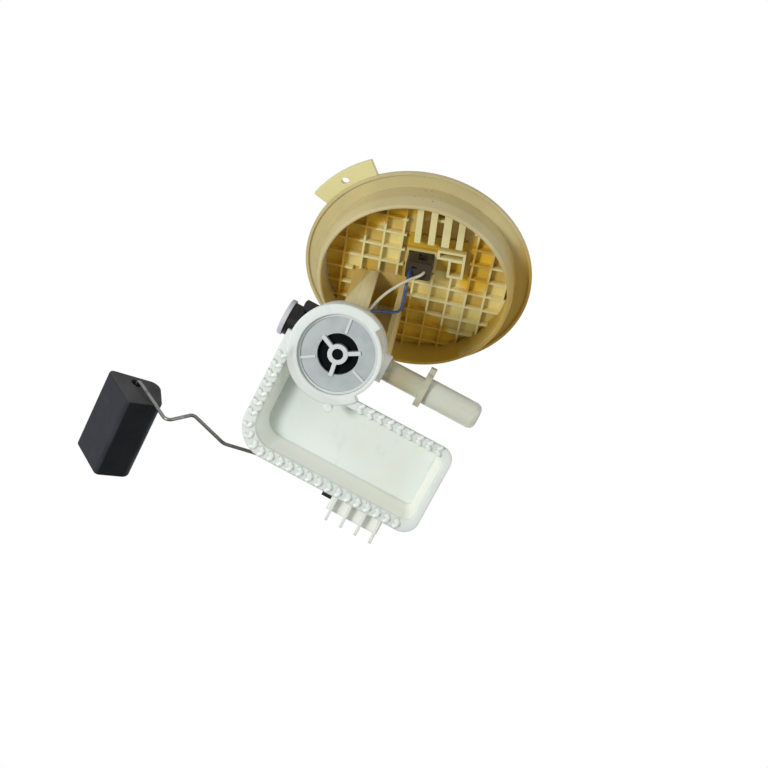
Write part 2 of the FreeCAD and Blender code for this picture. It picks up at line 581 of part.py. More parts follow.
def inlet_valve():
    """The rubber-faced disc that lies on the cap's slots, with its guide stem."""
    seat = CAP_Z + CAP_T
    stem_r = HUB_BORE_R - RUN_GAP
    return turned([
        (0, CAP_Z - 0.2), (0, LEDGE_Z - VALVE_LIFT), (3.0, LEDGE_Z - VALVE_LIFT),
        (4.0, seat + VALVE_T + 0.3), (VALVE_R - 1.0, seat + VALVE_T), (VALVE_R, seat + VALVE_T - 0.5),
        (VALVE_R, seat), (stem_r, seat), (stem_r, CAP_Z + 0.2), (stem_r - 0.6, CAP_Z - 0.2),
    ])


def strainer_plate(z0, hole_r):
    plate = rod(CAN_BORE_R - 0.4, (0, 0, z0), (0, 0, 1), PLATE_T)
    lip = ring(STRAINER_IN_R - 0.4, STRAINER_IN_R - 1.6, (0, 0, z0), (0, 0, 1), PLATE_T)
    return plate.cut(rod(hole_r, (0, 0, z0 - 1), (0, 0, 1), PLATE_T + 2)) if hole_r else plate.fuse(lip)


def strainer_sleeve():
    """The pleated sleeve between the two plates."""
    low, high = LEDGE_Z + PLATE_T, strainer_top() - PLATE_T
    points = []
    for i in range(2 * PLEATS):
        angle = math.pi * i / PLEATS
        radius = STRAINER_R if i % 2 == 0 else STRAINER_R - PLEAT_DEPTH
        points.append(V(radius * math.cos(angle), radius * math.sin(angle), low))
    star = Part.Face(Part.makePolygon(points + points[:1])).extrude(V(0, 0, high - low))
    return star.cut(rod(STRAINER_IN_R, (0, 0, low), (0, 0, 1), high - low))


def seal(thick_r, z):
    """A rubber ring in a groove, up to the canister's bore."""
    return Part.makeTorus(CAN_BORE_R - thick_r - 0.02, thick_r, V(0, 0, z))


def transfer_tube():
    """The cross tube: thin neck, collar step and wide end."""
    root = math.sqrt(CAN_BORE_R ** 2 - (abs(CROSS_B) + TUBE_R) ** 2) + 2.6
    end = TUBE_END_A
    profile = [
        (TUBE_BORE_R, root), (TUBE_R, root), (TUBE_R, TUBE_STEP_A), (TUBE_END_R, TUBE_STEP_A),
        (TUBE_END_R, end - 3), (TUBE_END_R - 0.8, end - 1.0), (TUBE_END_R - 2.4, end), (TUBE_BORE_R, end),
    ]
    return turned(profile, V(0, CROSS_B, CROSS_Z), V(1, 0, 0))


def tube_clip():
    """The split retaining ring on the tube, with its pierced lug."""
    disc = rod(CLIP_R, (CLIP_A, CROSS_B, CROSS_Z), (1, 0, 0), CLIP_T)
    lug_b = CROSS_B - CLIP_R
    lug = block(CLIP_A, CLIP_A + CLIP_T, lug_b - 2.6, lug_b + 3, CROSS_Z - 2.6, CROSS_Z + 2.6)
    hole = rod(TUBE_R + RUN_GAP, (CLIP_A - 1, CROSS_B, CROSS_Z), (1, 0, 0), CLIP_T + 2)
    eye = rod(1.1, (CLIP_A - 1, lug_b - 0.4, CROSS_Z), (1, 0, 0), CLIP_T + 2)
    split = block(CLIP_A - 1, CLIP_A + CLIP_T + 1, CROSS_B + 2, CROSS_B + CLIP_R + 1,
                  CROSS_Z - 0.7, CROSS_Z + 0.7)
    return join(disc, lug).cut(Part.Compound([hole, eye, split]))


def regulator_holder():
    """The dark cup on the canister's left side."""
    start = HOLDER_START_A
    cup = join(
        rod(HOLDER_R, (HOLDER_END_A, CROSS_B, CROSS_Z), (1, 0, 0), start - HOLDER_END_A),
        rod(HOLDER_LIP_R, (start - 3.2, CROSS_B, CROSS_Z), (1, 0, 0), 2.0),
        block(start - 3.2, -20.0, CROSS_B - 13.0, CROSS_B - BOSS_R, STRAP_Z0 + 1, STRAP_Z1),
        strap(),
    )
    room = rod(REG_R + SLIP_GAP, (HOLDER_END_A - 1, CROSS_B, CROSS_Z), (1, 0, 0), start - HOLDER_END_A - 1)
    neck = rod(REG_NECK_R + SLIP_GAP, (HOLDER_END_A, CROSS_B, CROSS_Z), (1, 0, 0), 20)
    collar = rod(COLLAR_R + SLIP_GAP, (0, 0, -5), (0, 0, 1), COLLAR_H + 5 + SLIP_GAP)
    can = rod(CAN_R + SLIP_GAP, (0, 0, -5), (0, 0, 1), CAN_H + 10)
    boss = rod(BOSS_R + SLIP_GAP, (HOLDER_START_A, CROSS_B, CROSS_Z), (1, 0, 0), 20)
    return cup.cut(Part.Compound([room, neck])).cut(collar).cut(can).cut(boss)


def strap():
    """The band from the cup round the canister's side."""
    band = ring(CAN_R + STRAP_T, CAN_R, (0, 0, STRAP_Z0), (0, 0, 1), STRAP_Z1 - STRAP_Z0)
    from_angle = 205.0
    sector = Part.makeCylinder(CAN_R + STRAP_T + 1, STRAP_Z1, V(0, 0, 0), V(0, 0, 1), STRAP_TO - from_angle)
    sector.rotate(V(0, 0, 0), V(0, 0, 1), from_angle)
    return band.common(sector)


def regulator():
    """The metal can of the pressure regulator and its neck into the canister."""
    back = HOLDER_START_A - 2.0
    reach = -math.sqrt(CAN_BORE_R ** 2 - (abs(CROSS_B) + REG_NECK_R) ** 2) - 1.6
    profile = [
        (0, HOLDER_END_A), (REG_R - 1, HOLDER_END_A), (REG_R, HOLDER_END_A + 1), (REG_R, back - 0.6),
        (REG_R - 0.6, back), (REG_NECK_R, back), (REG_NECK_R, reach), (1.6, reach), (1.6, back - 2),
        (0, back - 2),
    ]
    return turned(profile, V(0, CROSS_B, CROSS_Z), V(1, 0, 0))


def regulator_plate():
    """The pale retaining plate over the regulator, with its vent nose."""
    a1, a0 = HOLDER_END_A, HOLDER_END_A - DISC_T
    profile = [
        (1.4, a0 - 0.5), (3.4, a0 - 0.5), (3.4, a0), (DISC_R - 0.6, a0), (DISC_R, a0 + 0.6),
        (DISC_R, a1 + 0.8), (HOLDER_R + SLIP_GAP, a1 + 0.8), (HOLDER_R + SLIP_GAP, a1), (1.4, a1),
    ]
    return turned(profile, V(0, CROSS_B, CROSS_Z), V(1, 0, 0))


def sensor_base():
    """The sensor's plate on the tray's pad, with bore, card bed, stops and terminal holes."""
    b0, b1 = PAD_B, PAD_B + BASE_T
    plate = block(BASE_A0, BASE_A1, b0, b1, BASE_Z0, BASE_Z1)
    plate = plate.makeFillet(2.5, [e for e in plate.Edges if e.BoundBox.YLength > BASE_T - 0.1])
    frame = [
        block(CARD_A1, CARD_A1 + 1.2, b1 - 0.5, b1 + CARD_T, CARD_Z0, CARD_Z1),
        block(CARD_A0 + 6, CARD_A1 + 1.2, b1 - 0.5, b1 + CARD_T, CARD_Z0 - 1.2, CARD_Z0),
    ]
    lower_stop = block(31.0, 35.0, b1 - 0.5, b1 + 5.0, 13.0, 16.4)
    upper_stop = rod(1.5, (PIVOT_A + 2.1, b1 - 0.5, PIVOT_Z - 12.8), (0, 1, 0), 4.5)
    body = join(plate, lower_stop, upper_stop, *frame)
    cuts = [rod(PIVOT_R + RUN_GAP, (PIVOT_A, b0 - 1, PIVOT_Z), (0, 1, 0), BASE_T + 3)]
    cuts += [rod(0.8, (a, b0 - 1, TERMINAL_Z), (0, 1, 0), BASE_T + 3) for a in TERMINAL_A]
    return body.cut(Part.Compound(cuts))


def resistor_card():
    b0 = PAD_B + BASE_T
    return block(CARD_A0, CARD_A1, b0, b0 + CARD_T, CARD_Z0, CARD_Z1)


def card_tracks():
    """The printed arcs that the wiper runs on, and the traces to the terminals."""
    b0 = PAD_B + BASE_T + CARD_T
    tracks = []
    for inner in (9.0, 12.0):
        arc = ring(inner + 1.6, inner, (PIVOT_A, b0, PIVOT_Z), (0, 1, 0), 0.1)
        tracks.append(arc.common(block(CARD_A0 + 0.3, CARD_A1, b0, b0 + 0.1, CARD_Z0 + 0.3, PIVOT_Z + 3)))
    return Part.Compound(tracks)


def sensor_terminals():
    b0, b1 = PAD_B, PAD_B + BASE_T
    shapes = []
    for a in TERMINAL_A:
        barrel = rod(BARREL_R, (a, b0 - BARREL_L, TERMINAL_Z), (0, 1, 0), BARREL_L)
        pin = rod(0.7, (a, b0 - 1, TERMINAL_Z), (0, 1, 0), BASE_T + 1.2)
        tab = block(a - 1.2, a + 1.2, b1, b1 + 0.5, CARD_Z1, TERMINAL_Z + 1.4)
        shapes.append(join(barrel, pin, tab))
    return Part.Compound(shapes)


def rotor():
    """The arm carrier: hub, shaft with snap head, wire bed and tail."""
    b0 = PAD_B + BASE_T + CARD_T + STAND_OFF
    b1 = b0 + ROTOR_T
    half = ROTOR_ARM_W / 2
    hub = rod(ROTOR_R, (PIVOT_A, b0, PIVOT_Z), (0, 1, 0), ROTOR_T)
    bed = block(PIVOT_A - ROTOR_ARM, PIVOT_A, b0, b1, PIVOT_Z - half, PIVOT_Z + half)
    tip_edges = [e for e in bed.Edges if e.BoundBox.YLength > ROTOR_T - 0.1 and e.BoundBox.XMax < PIVOT_A - 1]
    bed = bed.makeFillet(1.5, tip_edges)
    tail = block(PIVOT_A, PIVOT_A + TAIL_R, b0, b0 + 2.0, PIVOT_Z - half, PIVOT_Z + half)
    shaft = rod(PIVOT_R, (PIVOT_A, PAD_B - 0.2, PIVOT_Z), (0, 1, 0), b0 - PAD_B + 0.4)
    head = Part.makeCone(PIVOT_R - 0.4, PIVOT_R + 0.7, 1.0, V(PIVOT_A, PAD_B - 1.2, PIVOT_Z), V(0, 1, 0))
    lug = block(LUG_A0, LUG_A1, b1 - 0.5, LUG_B, LUG_Z0, LUG_Z1)
    body = join(hub, bed, lug, tail, shaft, head)
    start, end = arm_points()[0], arm_points()[1]
    along = (end - start).normalize()
    groove = Part.makeCylinder(ARM_WIRE_R + RUN_GAP, 60, start - along * 0.2, along)
    slit = ARM_WIRE_R * 0.85
    mouth = block(PIVOT_A - ROTOR_ARM - 1, PIVOT_A + 0.5, start.y, b1 + 1, PIVOT_Z - slit, PIVOT_Z + slit)
    mouth.rotate(start, V(0, 1, 0), math.degrees(math.atan2(end.z - start.z, start.x - end.x)))
    return body.cut(Part.Compound([groove, mouth]))


def wiper():
    """The contact spring under the rotor's tail."""
    b1 = PAD_B + BASE_T + CARD_T + STAND_OFF
    a0, a1 = PIVOT_A + ROTOR_R, PIVOT_A + TAIL_R
    leaf = block(a0, a1 - 0.3, b1 - 0.15, b1, PIVOT_Z - 3, PIVOT_Z + 3)
    return leaf.cut(block(a0 + 1, a1 + 1, b1 - 1, b1 + 1, PIVOT_Z - 0.5, PIVOT_Z + 0.5))


def float_place():
    turn = FreeCAD.Rotation(V(0, 0, 1), FLOAT_TURN)
    return FreeCAD.Placement(FLOAT_AT, turn.multiply(FreeCAD.Rotation(V(1, 0, 0), FLOAT_TILT)))


def arm_points():
    """The arm wire's corners in the housing frame, from the rotor to the float's far end."""
    b = PAD_B + BASE_T + CARD_T + STAND_OFF + ROTOR_T / 2
    bend = float_place().multVec(V(0, -1.9, 0))
    far = float_place().multVec(V(0, FLOAT_L + 3.2, 0))
    return [
        V(PIVOT_A, b, PIVOT_Z), V(16, b, PIVOT_Z - 2.4), V(-15, b + 3.0, 14), V(-32.6, 74.2, 8),
        V(-53.7, 66.6, 4), V(-63.7, 73.4, -6.3), bend, far,
    ]


def arm_wire():
    radii = [12.0, 12.0, ARM_BEND_R * 2, ARM_BEND_R, ARM_BEND_R * 0.9, 2.6]
    return bent_rod(arm_points(), radii, ARM_WIRE_R)


def float_block():
    """The float: a four-sided block with rounded edges, pierced along its length."""
    corners = [V(x, 0, z) for x, z in FLOAT_SECTION]
    body = Part.Face(rounded_wire(corners, FLOAT_ROUND)).extrude(V(0, FLOAT_L, 0))
    ends = [e for e in body.Edges if e.BoundBox.YLength < 0.01]
    body = body.makeFillet(1.3, ends)
    bore = rod(ARM_WIRE_R + RUN_GAP, (0, -1, 0), (0, 1, 0), FLOAT_L + 2)
    sink = rod(SINK_R, (0, -1, 0), (0, 1, 0), SINK_DEPTH + 1)
    body = body.cut(Part.Compound([bore, sink]))
    body.Placement = float_place()
    return body


def float_clip():
    """The push-on nut at the wire's end."""
    clip = ring(3.2, ARM_WIRE_R + 0.02, (0, FLOAT_L + STAND_OFF, 0), (0, 1, 0), 0.8)
    clip.Placement = float_place()
    return clip


def main():
    upper_plate = strainer_top() - PLATE_T
    nodes = {
        "flange_cover": flange_cover(),
        "guide_block": guide_block(),
        "connector_pins": connector_pins(),
        "harness_plug": harness_plug(),
        "plug_lock": plug_lock(),
        "plug_contacts": plug_contacts(),
        "lead_blue": cord(BLUE_ROUTE),
        "lead_grey": cord(GREY_ROUTE),
        "support_leg": support_leg(),
        "housing": placed(housing()),
        "foot_screws": placed(foot_screws()),
        "foot_seal": placed(seal(FOOT_SEAL_R, CAN_H - FOOT_SEAL_DROP)),
        "end_cap": placed(end_cap()),
        "cap_seal": placed(seal(CAP_SEAL_R, CAP_Z + CAP_T / 2)),
        "inlet_valve": placed(inlet_valve()),
        "strainer_lower_plate": placed(strainer_plate(LEDGE_Z, 0)),
        "strainer_sleeve": placed(strainer_sleeve()),
        "strainer_upper_plate": placed(strainer_plate(upper_plate, 6.0)),
        "transfer_tube": placed(transfer_tube()),
        "tube_clip": placed(tube_clip()),
        "regulator_holder": placed(regulator_holder()),
        "regulator": placed(regulator()),
        "regulator_plate": placed(regulator_plate()),
        "sensor_base": placed(sensor_base()),
        "resistor_card": placed(resistor_card()),
        "card_tracks": placed(card_tracks()),
        "sensor_terminals": placed(sensor_terminals()),
        "rotor": placed(rotor()),
        "wiper": placed(wiper()),
        "arm_wire": placed(arm_wire()),
        "float": placed(float_block()),
        "float_clip": placed(float_clip()),
    }
    os.makedirs("parts", exist_ok=True)
    for name, shape in nodes.items():
        shape.exportStep("parts/" + name + ".step")
        print(name, "solids", len(shape.Solids), "valid", shape.isValid(), "volume", round(shape.Volume, 1))


main()
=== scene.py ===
import math

import bpy
from mathutils import Matrix, Vector


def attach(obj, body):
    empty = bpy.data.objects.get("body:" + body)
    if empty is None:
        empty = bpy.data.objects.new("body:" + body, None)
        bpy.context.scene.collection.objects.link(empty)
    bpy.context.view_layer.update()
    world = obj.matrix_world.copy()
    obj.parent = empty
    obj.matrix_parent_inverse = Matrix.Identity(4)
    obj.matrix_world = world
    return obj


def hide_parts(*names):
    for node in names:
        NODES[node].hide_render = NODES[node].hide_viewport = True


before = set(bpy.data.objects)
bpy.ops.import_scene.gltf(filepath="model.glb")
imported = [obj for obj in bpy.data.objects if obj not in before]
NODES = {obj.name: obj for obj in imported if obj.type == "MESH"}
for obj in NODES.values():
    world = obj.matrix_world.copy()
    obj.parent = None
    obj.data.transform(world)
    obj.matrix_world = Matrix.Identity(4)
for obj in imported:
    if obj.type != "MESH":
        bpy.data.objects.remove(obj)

bl_info = {
    "name": "Fuel Tank Sending Unit",
    "version": (1, 0, 0),
    "blender": (4, 5, 0),
    "location": "View3D > Sidebar > Sending Unit",
    "description": "Finishes the packed sending unit: cover, housing, leads, float and stage",
    "category": "Object",
}

# The housing's own frame: its place and its axes, as rows of the row frame
HOUSING_AT = Vector((-0.029, -0.006, -0.093))
HOUSING_TILT = math.radians(30)
HOUSING_TURN = math.radians(18)

# The float's place and turns in that frame, in millimetres
FLOAT_AT = (-90.7, 70.2, 18.0)
FLOAT_TILT = math.radians(12)
FLOAT_TURN = math.radians(1.5)

# The photograph's camera, and the row frame as it sees it: x right, y down, z away
FOCAL_PX = 1250.0
PHOTO_PX = 768.0
SEEN_Z = Vector((0.17, -0.64, 0.75)).normalized()
SEEN_X = Vector((0.981, 0.18, -0.069))
SEEN_ORIGIN = Vector((0.01939, -0.06498, 0.72175))

# Points of the cover in the row frame, and the start and end of each blend by radius or height
RIB_START = (0.0013, 0.004, 0)
# Centre of the ring's dirt specks and also of a painted shade at the ring's top
DIRT_AND_SHADE_AT = (0.002, -0.057, -0.008)
BAY_AT = (-0.0195, 0.011, 0)
# Centre of the painted shadow along the skirt, then two amber patches by the rails
SKIRT_SHADOW_AT = (0.008, 0.012)
AMBER_PATCHES = ((0.033, -0.018, 0.007, 0.013), (0.033, -0.001, 0.007, 0.012))
WAFFLE_EDGE = (0.0528, 0.0536)
RING_EDGE = (0.0659, 0.0662)
UPPER_SIDE = (0.0025, 0.0035)
RIB_DEPTH = (-0.0014, 0.0010)
RAIL_DEPTH = (-0.0050, 0.0000)

# Blends along the housing's axes: upwards for the tray and the plate, sideways for the rest
TRAY_EDGE = (0.0012, 0.0026)
TRAY_FLOOR = (0.0160, 0.0180)
TRAY_LEFT = (-0.024, 0.012)
PLATE_FACE = (0.0018, 0.0021)
TUBE_NECK = (0.034, 0.056)
STRAP_END = (-0.0205, -0.0195)

# The web in the leg: its size in metres, its middle in millimetres and what its foot loses
WEB_SIZE = (0.0090, 0.0018, 0.0398)
WEB_AT = (-26.6, 5.95, -19.4)
WEB_CUT = 0.004

# One arm of a chevron, its rounding, the middle's way from the apex, and the apex's own shift;
# the chevrons' pitch, and the centre and radius of the rim's round corner, in millimetres
ARM_SIZE = (0.0044, 0.0026, 0.0029)
ARM_ROUND = 0.00125
ARM_REACH = -1.75
APEX_SHIFT = 0.75
CHEVRON_PITCH = 5.8
CORNER_AT = (-11, 51)
CORNER_RADIUS = 14.75

# Where the lamps aim, and where they stand from there
LAMP_AIM = Vector((-0.03, 0.0, -0.06))
KEY_FROM = Vector((-0.7, -0.7, -1.0)).normalized()
KEY_AWAY = 0.85


def srgb(red, green, blue):
    """A colour from 0 to 255 steps, as the linear values that Blender works in."""
    def linear(step):
        value = step / 255
        return value / 12.92 if value <= 0.04045 else ((value + 0.055) / 1.055) ** 2.4
    return (linear(red), linear(green), linear(blue))


BRASS = srgb(205, 186, 132)


def colour_property(name, description, default):
    return bpy.props.FloatVectorProperty(
        name=name, description=description, subtype="COLOR", size=3, min=0.0, max=1.0,
        default=default)


def housing_point(a, b, z):
    """A point of the housing's frame, given in millimetres, in the row frame."""
    turned = Matrix.Rotation(HOUSING_TURN, 3, "Z") @ Vector((a, b, z))
    return HOUSING_AT + Matrix.Rotation(-HOUSING_TILT, 3, "X") @ (turned / 1000)


def foot_point(x, y, z):
    """The same before the housing's turn about the canister's axis."""
    return HOUSING_AT + Matrix.Rotation(-HOUSING_TILT, 3, "X") @ Vector((x, y, z)) / 1000


def row_point(x, y, z):
    return Vector((x, y, z)) / 1000


class SenderCoverSettings(bpy.types.PropertyGroup):
    """Colours of the flange cover, the leg and the rails."""
    rim: colour_property("Rim", "Outer ring and skirt of the cover", srgb(211, 197, 145))
    # Painted shade: amber for the ring and skirt on the side away from the key lamp
    amber_shade: colour_property("Ambered rim", "Ring where fuel has stood longest", srgb(197, 163, 62))
    ear: colour_property("Ear", "Pierced ear beside the ring", srgb(232, 224, 162))
    rib: colour_property("Ribs", "Pale waffle ribs and rails inside the skirt", srgb(235, 225, 166))
    # Painted shadow: rib and floor colours for where the floor is darkened
    rib_darkened: colour_property("Stained ribs", "Ribs over the stained floor", srgb(204, 164, 58))
    shadow_and_stain: colour_property("Stain", "Fuel stain on the floor between the ribs", srgb(232, 192, 54))
    # The palest cells of the lit floor, outside the painted shadow
    palest_cell: colour_property("Fresh", "Palest cells, which fuel hasn't stained", srgb(238, 222, 148))
    cell: colour_property("Cells", "Darkest cells of the pale part", srgb(204, 174, 84))
    # Painted shade on the floor in the leg's channel, paler than the painted shadow around it
    bay: colour_property("Bay", "Floor of the cover inside the leg's channel", srgb(196, 168, 104))
    leg: colour_property("Leg", "Channel between cover and canister", srgb(236, 226, 180))
    speck: colour_property("Specks", "Dark dirt on the ring", srgb(70, 60, 42))
    pitch: bpy.props.FloatVectorProperty(
        name="Rib pitch", description="Distances of the ribs, which the cells' shades follow",
        size=2, default=(0.01055, 0.0102), min=0.005, max=0.03, unit="LENGTH")
    rib_turn: bpy.props.FloatProperty(
        name="Rib turn", description="Turn of the ribs in the cover", default=math.radians(2.7),
        unit="ROTATION")


class SenderHousingSettings(bpy.types.PropertyGroup):
    """Colours of the canister with its tray and of what closes it."""
    # Painted light: near white on the tray's walls, for light coming through them
    wall: colour_property("Walls", "Thin walls, which let light through", srgb(248, 252, 238))
    milky: colour_property("Milky", "Canister and tray", srgb(226, 234, 227))
    # Painted shadow on the left end of the tray's floor, by its left wall
    shade: colour_property("Tray's left end", "The floor's cooler left end", srgb(198, 209, 204))
    edge: colour_property("Thick edges", "Tint of the thick edges", srgb(204, 216, 210))
    shadow_and_stain: colour_property("Stain", "Warm stain of the tray", srgb(226, 231, 217))
    cap: colour_property("Cap", "Slotted plate in the canister's mouth", srgb(181, 189, 188))
    # Painted light: the chevrons a little brighter than the housing
    chevron: colour_property("Chevrons", "Raised chevrons of the tray's rim", srgb(234, 240, 233))
    tube: colour_property("Tube", "Wide end of the cross tube", srgb(212, 214, 198))
    # The neck is painted darker and yellower than the wide end
    neck: colour_property("Neck", "The tube's neck, yellowed by fuel", srgb(176, 169, 138))
    spoke: colour_property("Spokes", "Hub, spokes and ring of the plate", srgb(208, 213, 212))


class SenderLeadSettings(bpy.types.PropertyGroup):
    """The two leads from the plug to the sensor."""
    blue: colour_property("Blue lead", "Insulation of the first lead", srgb(44, 74, 136))
    grey: colour_property("Grey lead", "Insulation of the second lead", srgb(216, 211, 188))
    diameter: bpy.props.FloatProperty(
        name="Diameter", description="Outer diameter of a lead", default=0.0017, min=0.0005,
        max=0.004, unit="LENGTH")


class SenderFloatSettings(bpy.types.PropertyGroup):
    """The float and its arm."""
    foam: colour_property("Foam", "Closed-cell foam of the float", srgb(42, 45, 51))
    # Painted light: the end face by the hole is painted lighter than the foam
    lit_end: colour_property("Cut end", "Open pores of the float's cut end", srgb(72, 72, 73))
    steel: colour_property("Steel", "Drawn wire of the arm", srgb(132, 131, 130))


class SenderStageSettings(bpy.types.PropertyGroup):
    """Floor, lamps and world."""
    floor: colour_property("Floor", "Pale floor", srgb(240, 240, 240))
    floor_height: bpy.props.FloatProperty(
        name="Floor height", description="Height of the floor in the row frame", default=-1.4,
        unit="LENGTH")
    sky: bpy.props.FloatProperty(
        name="World light", description="Strength of the even light", default=0.38, min=0.0,
        max=1.0)
    key: bpy.props.FloatProperty(
        name="Key lamp", description="Power of the small hard lamp at the camera's left",
        default=4.4, min=0.0, unit="POWER")
    key_size: bpy.props.FloatProperty(
        name="Key lamp size", description="Width of the key lamp", default=0.22, min=0.01,
        unit="LENGTH")
    fill: bpy.props.FloatProperty(
        name="Fill lamp", description="Power of the wide lamp on the right", default=2.1, min=0.0,
        unit="POWER")


def new_material(name, colour, roughness, metallic=0.0):
    """A material with one principled shader, its tree and the shader."""
    material = bpy.data.materials.new(name)
    material.use_nodes = True
    shader = material.node_tree.nodes["Principled BSDF"]
    shader.inputs["Base Color"].default_value = (*colour, 1)
    shader.inputs["Roughness"].default_value = roughness
    shader.inputs["Metallic"].default_value = metallic
    return material, material.node_tree, shader


def add(tree, kind, inputs=None, **settings):
    """One more node; a socket among the inputs is linked and anything else is set."""
    made = tree.nodes.new(kind)
    for key, value in settings.items():
        setattr(made, key, value)
    for key, value in (inputs or {}).items():
        if isinstance(value, bpy.types.NodeSocket):
            tree.links.new(value, made.inputs[key])
        else:
            made.inputs[key].default_value = value
    return made


def place_of(tree):
    """The point on the piece, in the row frame."""
    return add(tree, "ShaderNodeTexCoord").outputs["Object"]


def flattened(tree, place):
    """The point on the piece, brought down to height zero."""
    return add(tree, "ShaderNodeMapping", {"Vector": place, "Scale": (1, 1, 0)}).outputs["Vector"]


def coordinate(tree, place, axis):
    return add(tree, "ShaderNodeSeparateXYZ", {"Vector": place}).outputs[axis]


def noise(tree, place, scale, detail=3.0, roughness=0.5, stretch=(1, 1, 1)):
    spread = add(tree, "ShaderNodeMapping", {"Vector": place, "Scale": stretch})
    return add(tree, "ShaderNodeTexNoise", {
        "Vector": spread.outputs["Vector"], "Scale": scale, "Detail": detail,
        "Roughness": roughness,
    }).outputs["Fac"]


def between(tree, value, low, high, start=0.0, end=1.0):
    """Value mapped from low..high to start..end, held at both ends."""
    return add(tree, "ShaderNodeMapRange", {
        "Value": value, "From Min": low, "From Max": high, "To Min": start, "To Max": end,
    }, interpolation_type="SMOOTHSTEP").outputs["Result"]


def maths(tree, operation, first, second=0.0):
    return add(tree, "ShaderNodeMath", {0: first, 1: second}, operation=operation).outputs[0]


def away_from(tree, place, point):
    """How far the point on the piece is from a point of the row frame."""
    return add(tree, "ShaderNodeVectorMath", {0: place, 1: point},
               operation="DISTANCE").outputs["Value"]


def reach(tree, place, direction):
    """How far the point on the piece lies along a direction of the row frame."""
    return add(tree, "ShaderNodeVectorMath", {0: place, 1: tuple(direction)},
               operation="DOT_PRODUCT").outputs["Value"]


def housing_reach(tree, place, axis, start=(0, 0, 0)):
    """The same along an axis of the housing's frame, from a start given there in millimetres."""
    direction = (housing_point(*axis) - HOUSING_AT) * 1000
    offset = housing_point(*start).dot(direction)
    return maths(tree, "SUBTRACT", reach(tree, place, direction), offset)


def shaded(colour, share):
    """The colour, darker by a share."""
    return tuple(c * share for c in colour)


def blend(tree, share, first, second):
    """Two colours mixed by a share."""
    mix = add(tree, "ShaderNodeMix", data_type="RGBA")
    tree.links.new(share, mix.inputs["Factor"])
    for index, colour in ((6, first), (7, second)):
        if isinstance(colour, bpy.types.NodeSocket):
            tree.links.new(colour, mix.inputs[index])
        else:
            mix.inputs[index].default_value = (*colour, 1)
    return mix.outputs[2]


def soften(tree, shader, radius, bump=None, strength=0.2, distance=0.0002):
    """Rounded edges in the shading, over an optional bump."""
    edge = add(tree, "ShaderNodeBevel", {"Radius": radius}, samples=6)
    normal = edge.outputs["Normal"]
    if bump is not None:
        normal = add(tree, "ShaderNodeBump", {
            "Height": bump, "Strength": strength, "Distance": distance, "Normal": normal,
        }).outputs["Normal"]
    tree.links.new(normal, shader.inputs["Normal"])


def let_light_in(shader, weight, depth):
    """Light that goes a little way into the plastic."""
    shader.inputs["Subsurface Weight"].default_value = weight
    shader.inputs["Subsurface Scale"].default_value = depth


def round_edges(piece, width, segments):
    """Rounds every edge of the active piece."""
    bevel = piece.modifiers.new("Bevel", "BEVEL")
    bevel.width = width
    bevel.segments = segments
    bpy.ops.object.modifier_apply(modifier="Bevel")


def finish_node(name, material):
    """Gives a CAD node its material."""
    surfaces = NODES[name].data.materials
    surfaces.clear()
    surfaces.append(material)


def plain_finish(name, colour, roughness, radius=0.0002, grain=900.0, strength=0.15, specular=0.5):
    """A material of one colour, with a fine grain and slightly uneven gloss."""
    material, tree, shader = new_material(name, colour, roughness)
    shader.inputs["Specular IOR Level"].default_value = specular
    place = place_of(tree)
    grainy = noise(tree, place, grain, 2.0)
    worn = noise(tree, place, grain / 12, 3.0)
    tree.links.new(between(tree, worn, 0.3, 0.7, roughness * 0.85, min(roughness * 1.2, 1.0)),
                   shader.inputs["Roughness"])
    tree.links.new(blend(tree, between(tree, worn, 0.35, 0.7), colour, shaded(colour, 0.86)),
                   shader.inputs["Base Color"])
    soften(tree, shader, radius, grainy, strength, 0.00005)
    return material


def darkened(tree, place, cloud):
    """Where the cover's floor is painted deep amber: a painted shadow along the skirt and behind
    the leg, and two patches by the rails in the same amber.
    """
    flat = flattened(tree, place)
    ragged = maths(tree, "MULTIPLY", maths(tree, "SUBTRACT", cloud, 0.5), 0.008)

    def from_point(x, y, low, high):
        away = away_from(tree, flat, (x, y, 0))
        return between(tree, maths(tree, "ADD", away, ragged), low, high)

    skirt_side = from_point(*SKIRT_SHADOW_AT, 0.0500, 0.0518)
    upper, lower = (from_point(*patch) for patch in AMBER_PATCHES)
    patches = maths(tree, "SUBTRACT", 1.0, maths(tree, "MINIMUM", upper, lower))
    across = reach(tree, flat, (-0.592, 0.806, 0))
    leg_side = between(tree, maths(tree, "ADD", across, ragged), 0.0148, 0.0174)
    past_leg = between(tree, coordinate(tree, flat, "X"), -0.030, -0.026)
    leg_side = maths(tree, "MULTIPLY", leg_side, past_leg)
    return maths(tree, "MAXIMUM", maths(tree, "MAXIMUM", skirt_side, leg_side), patches)


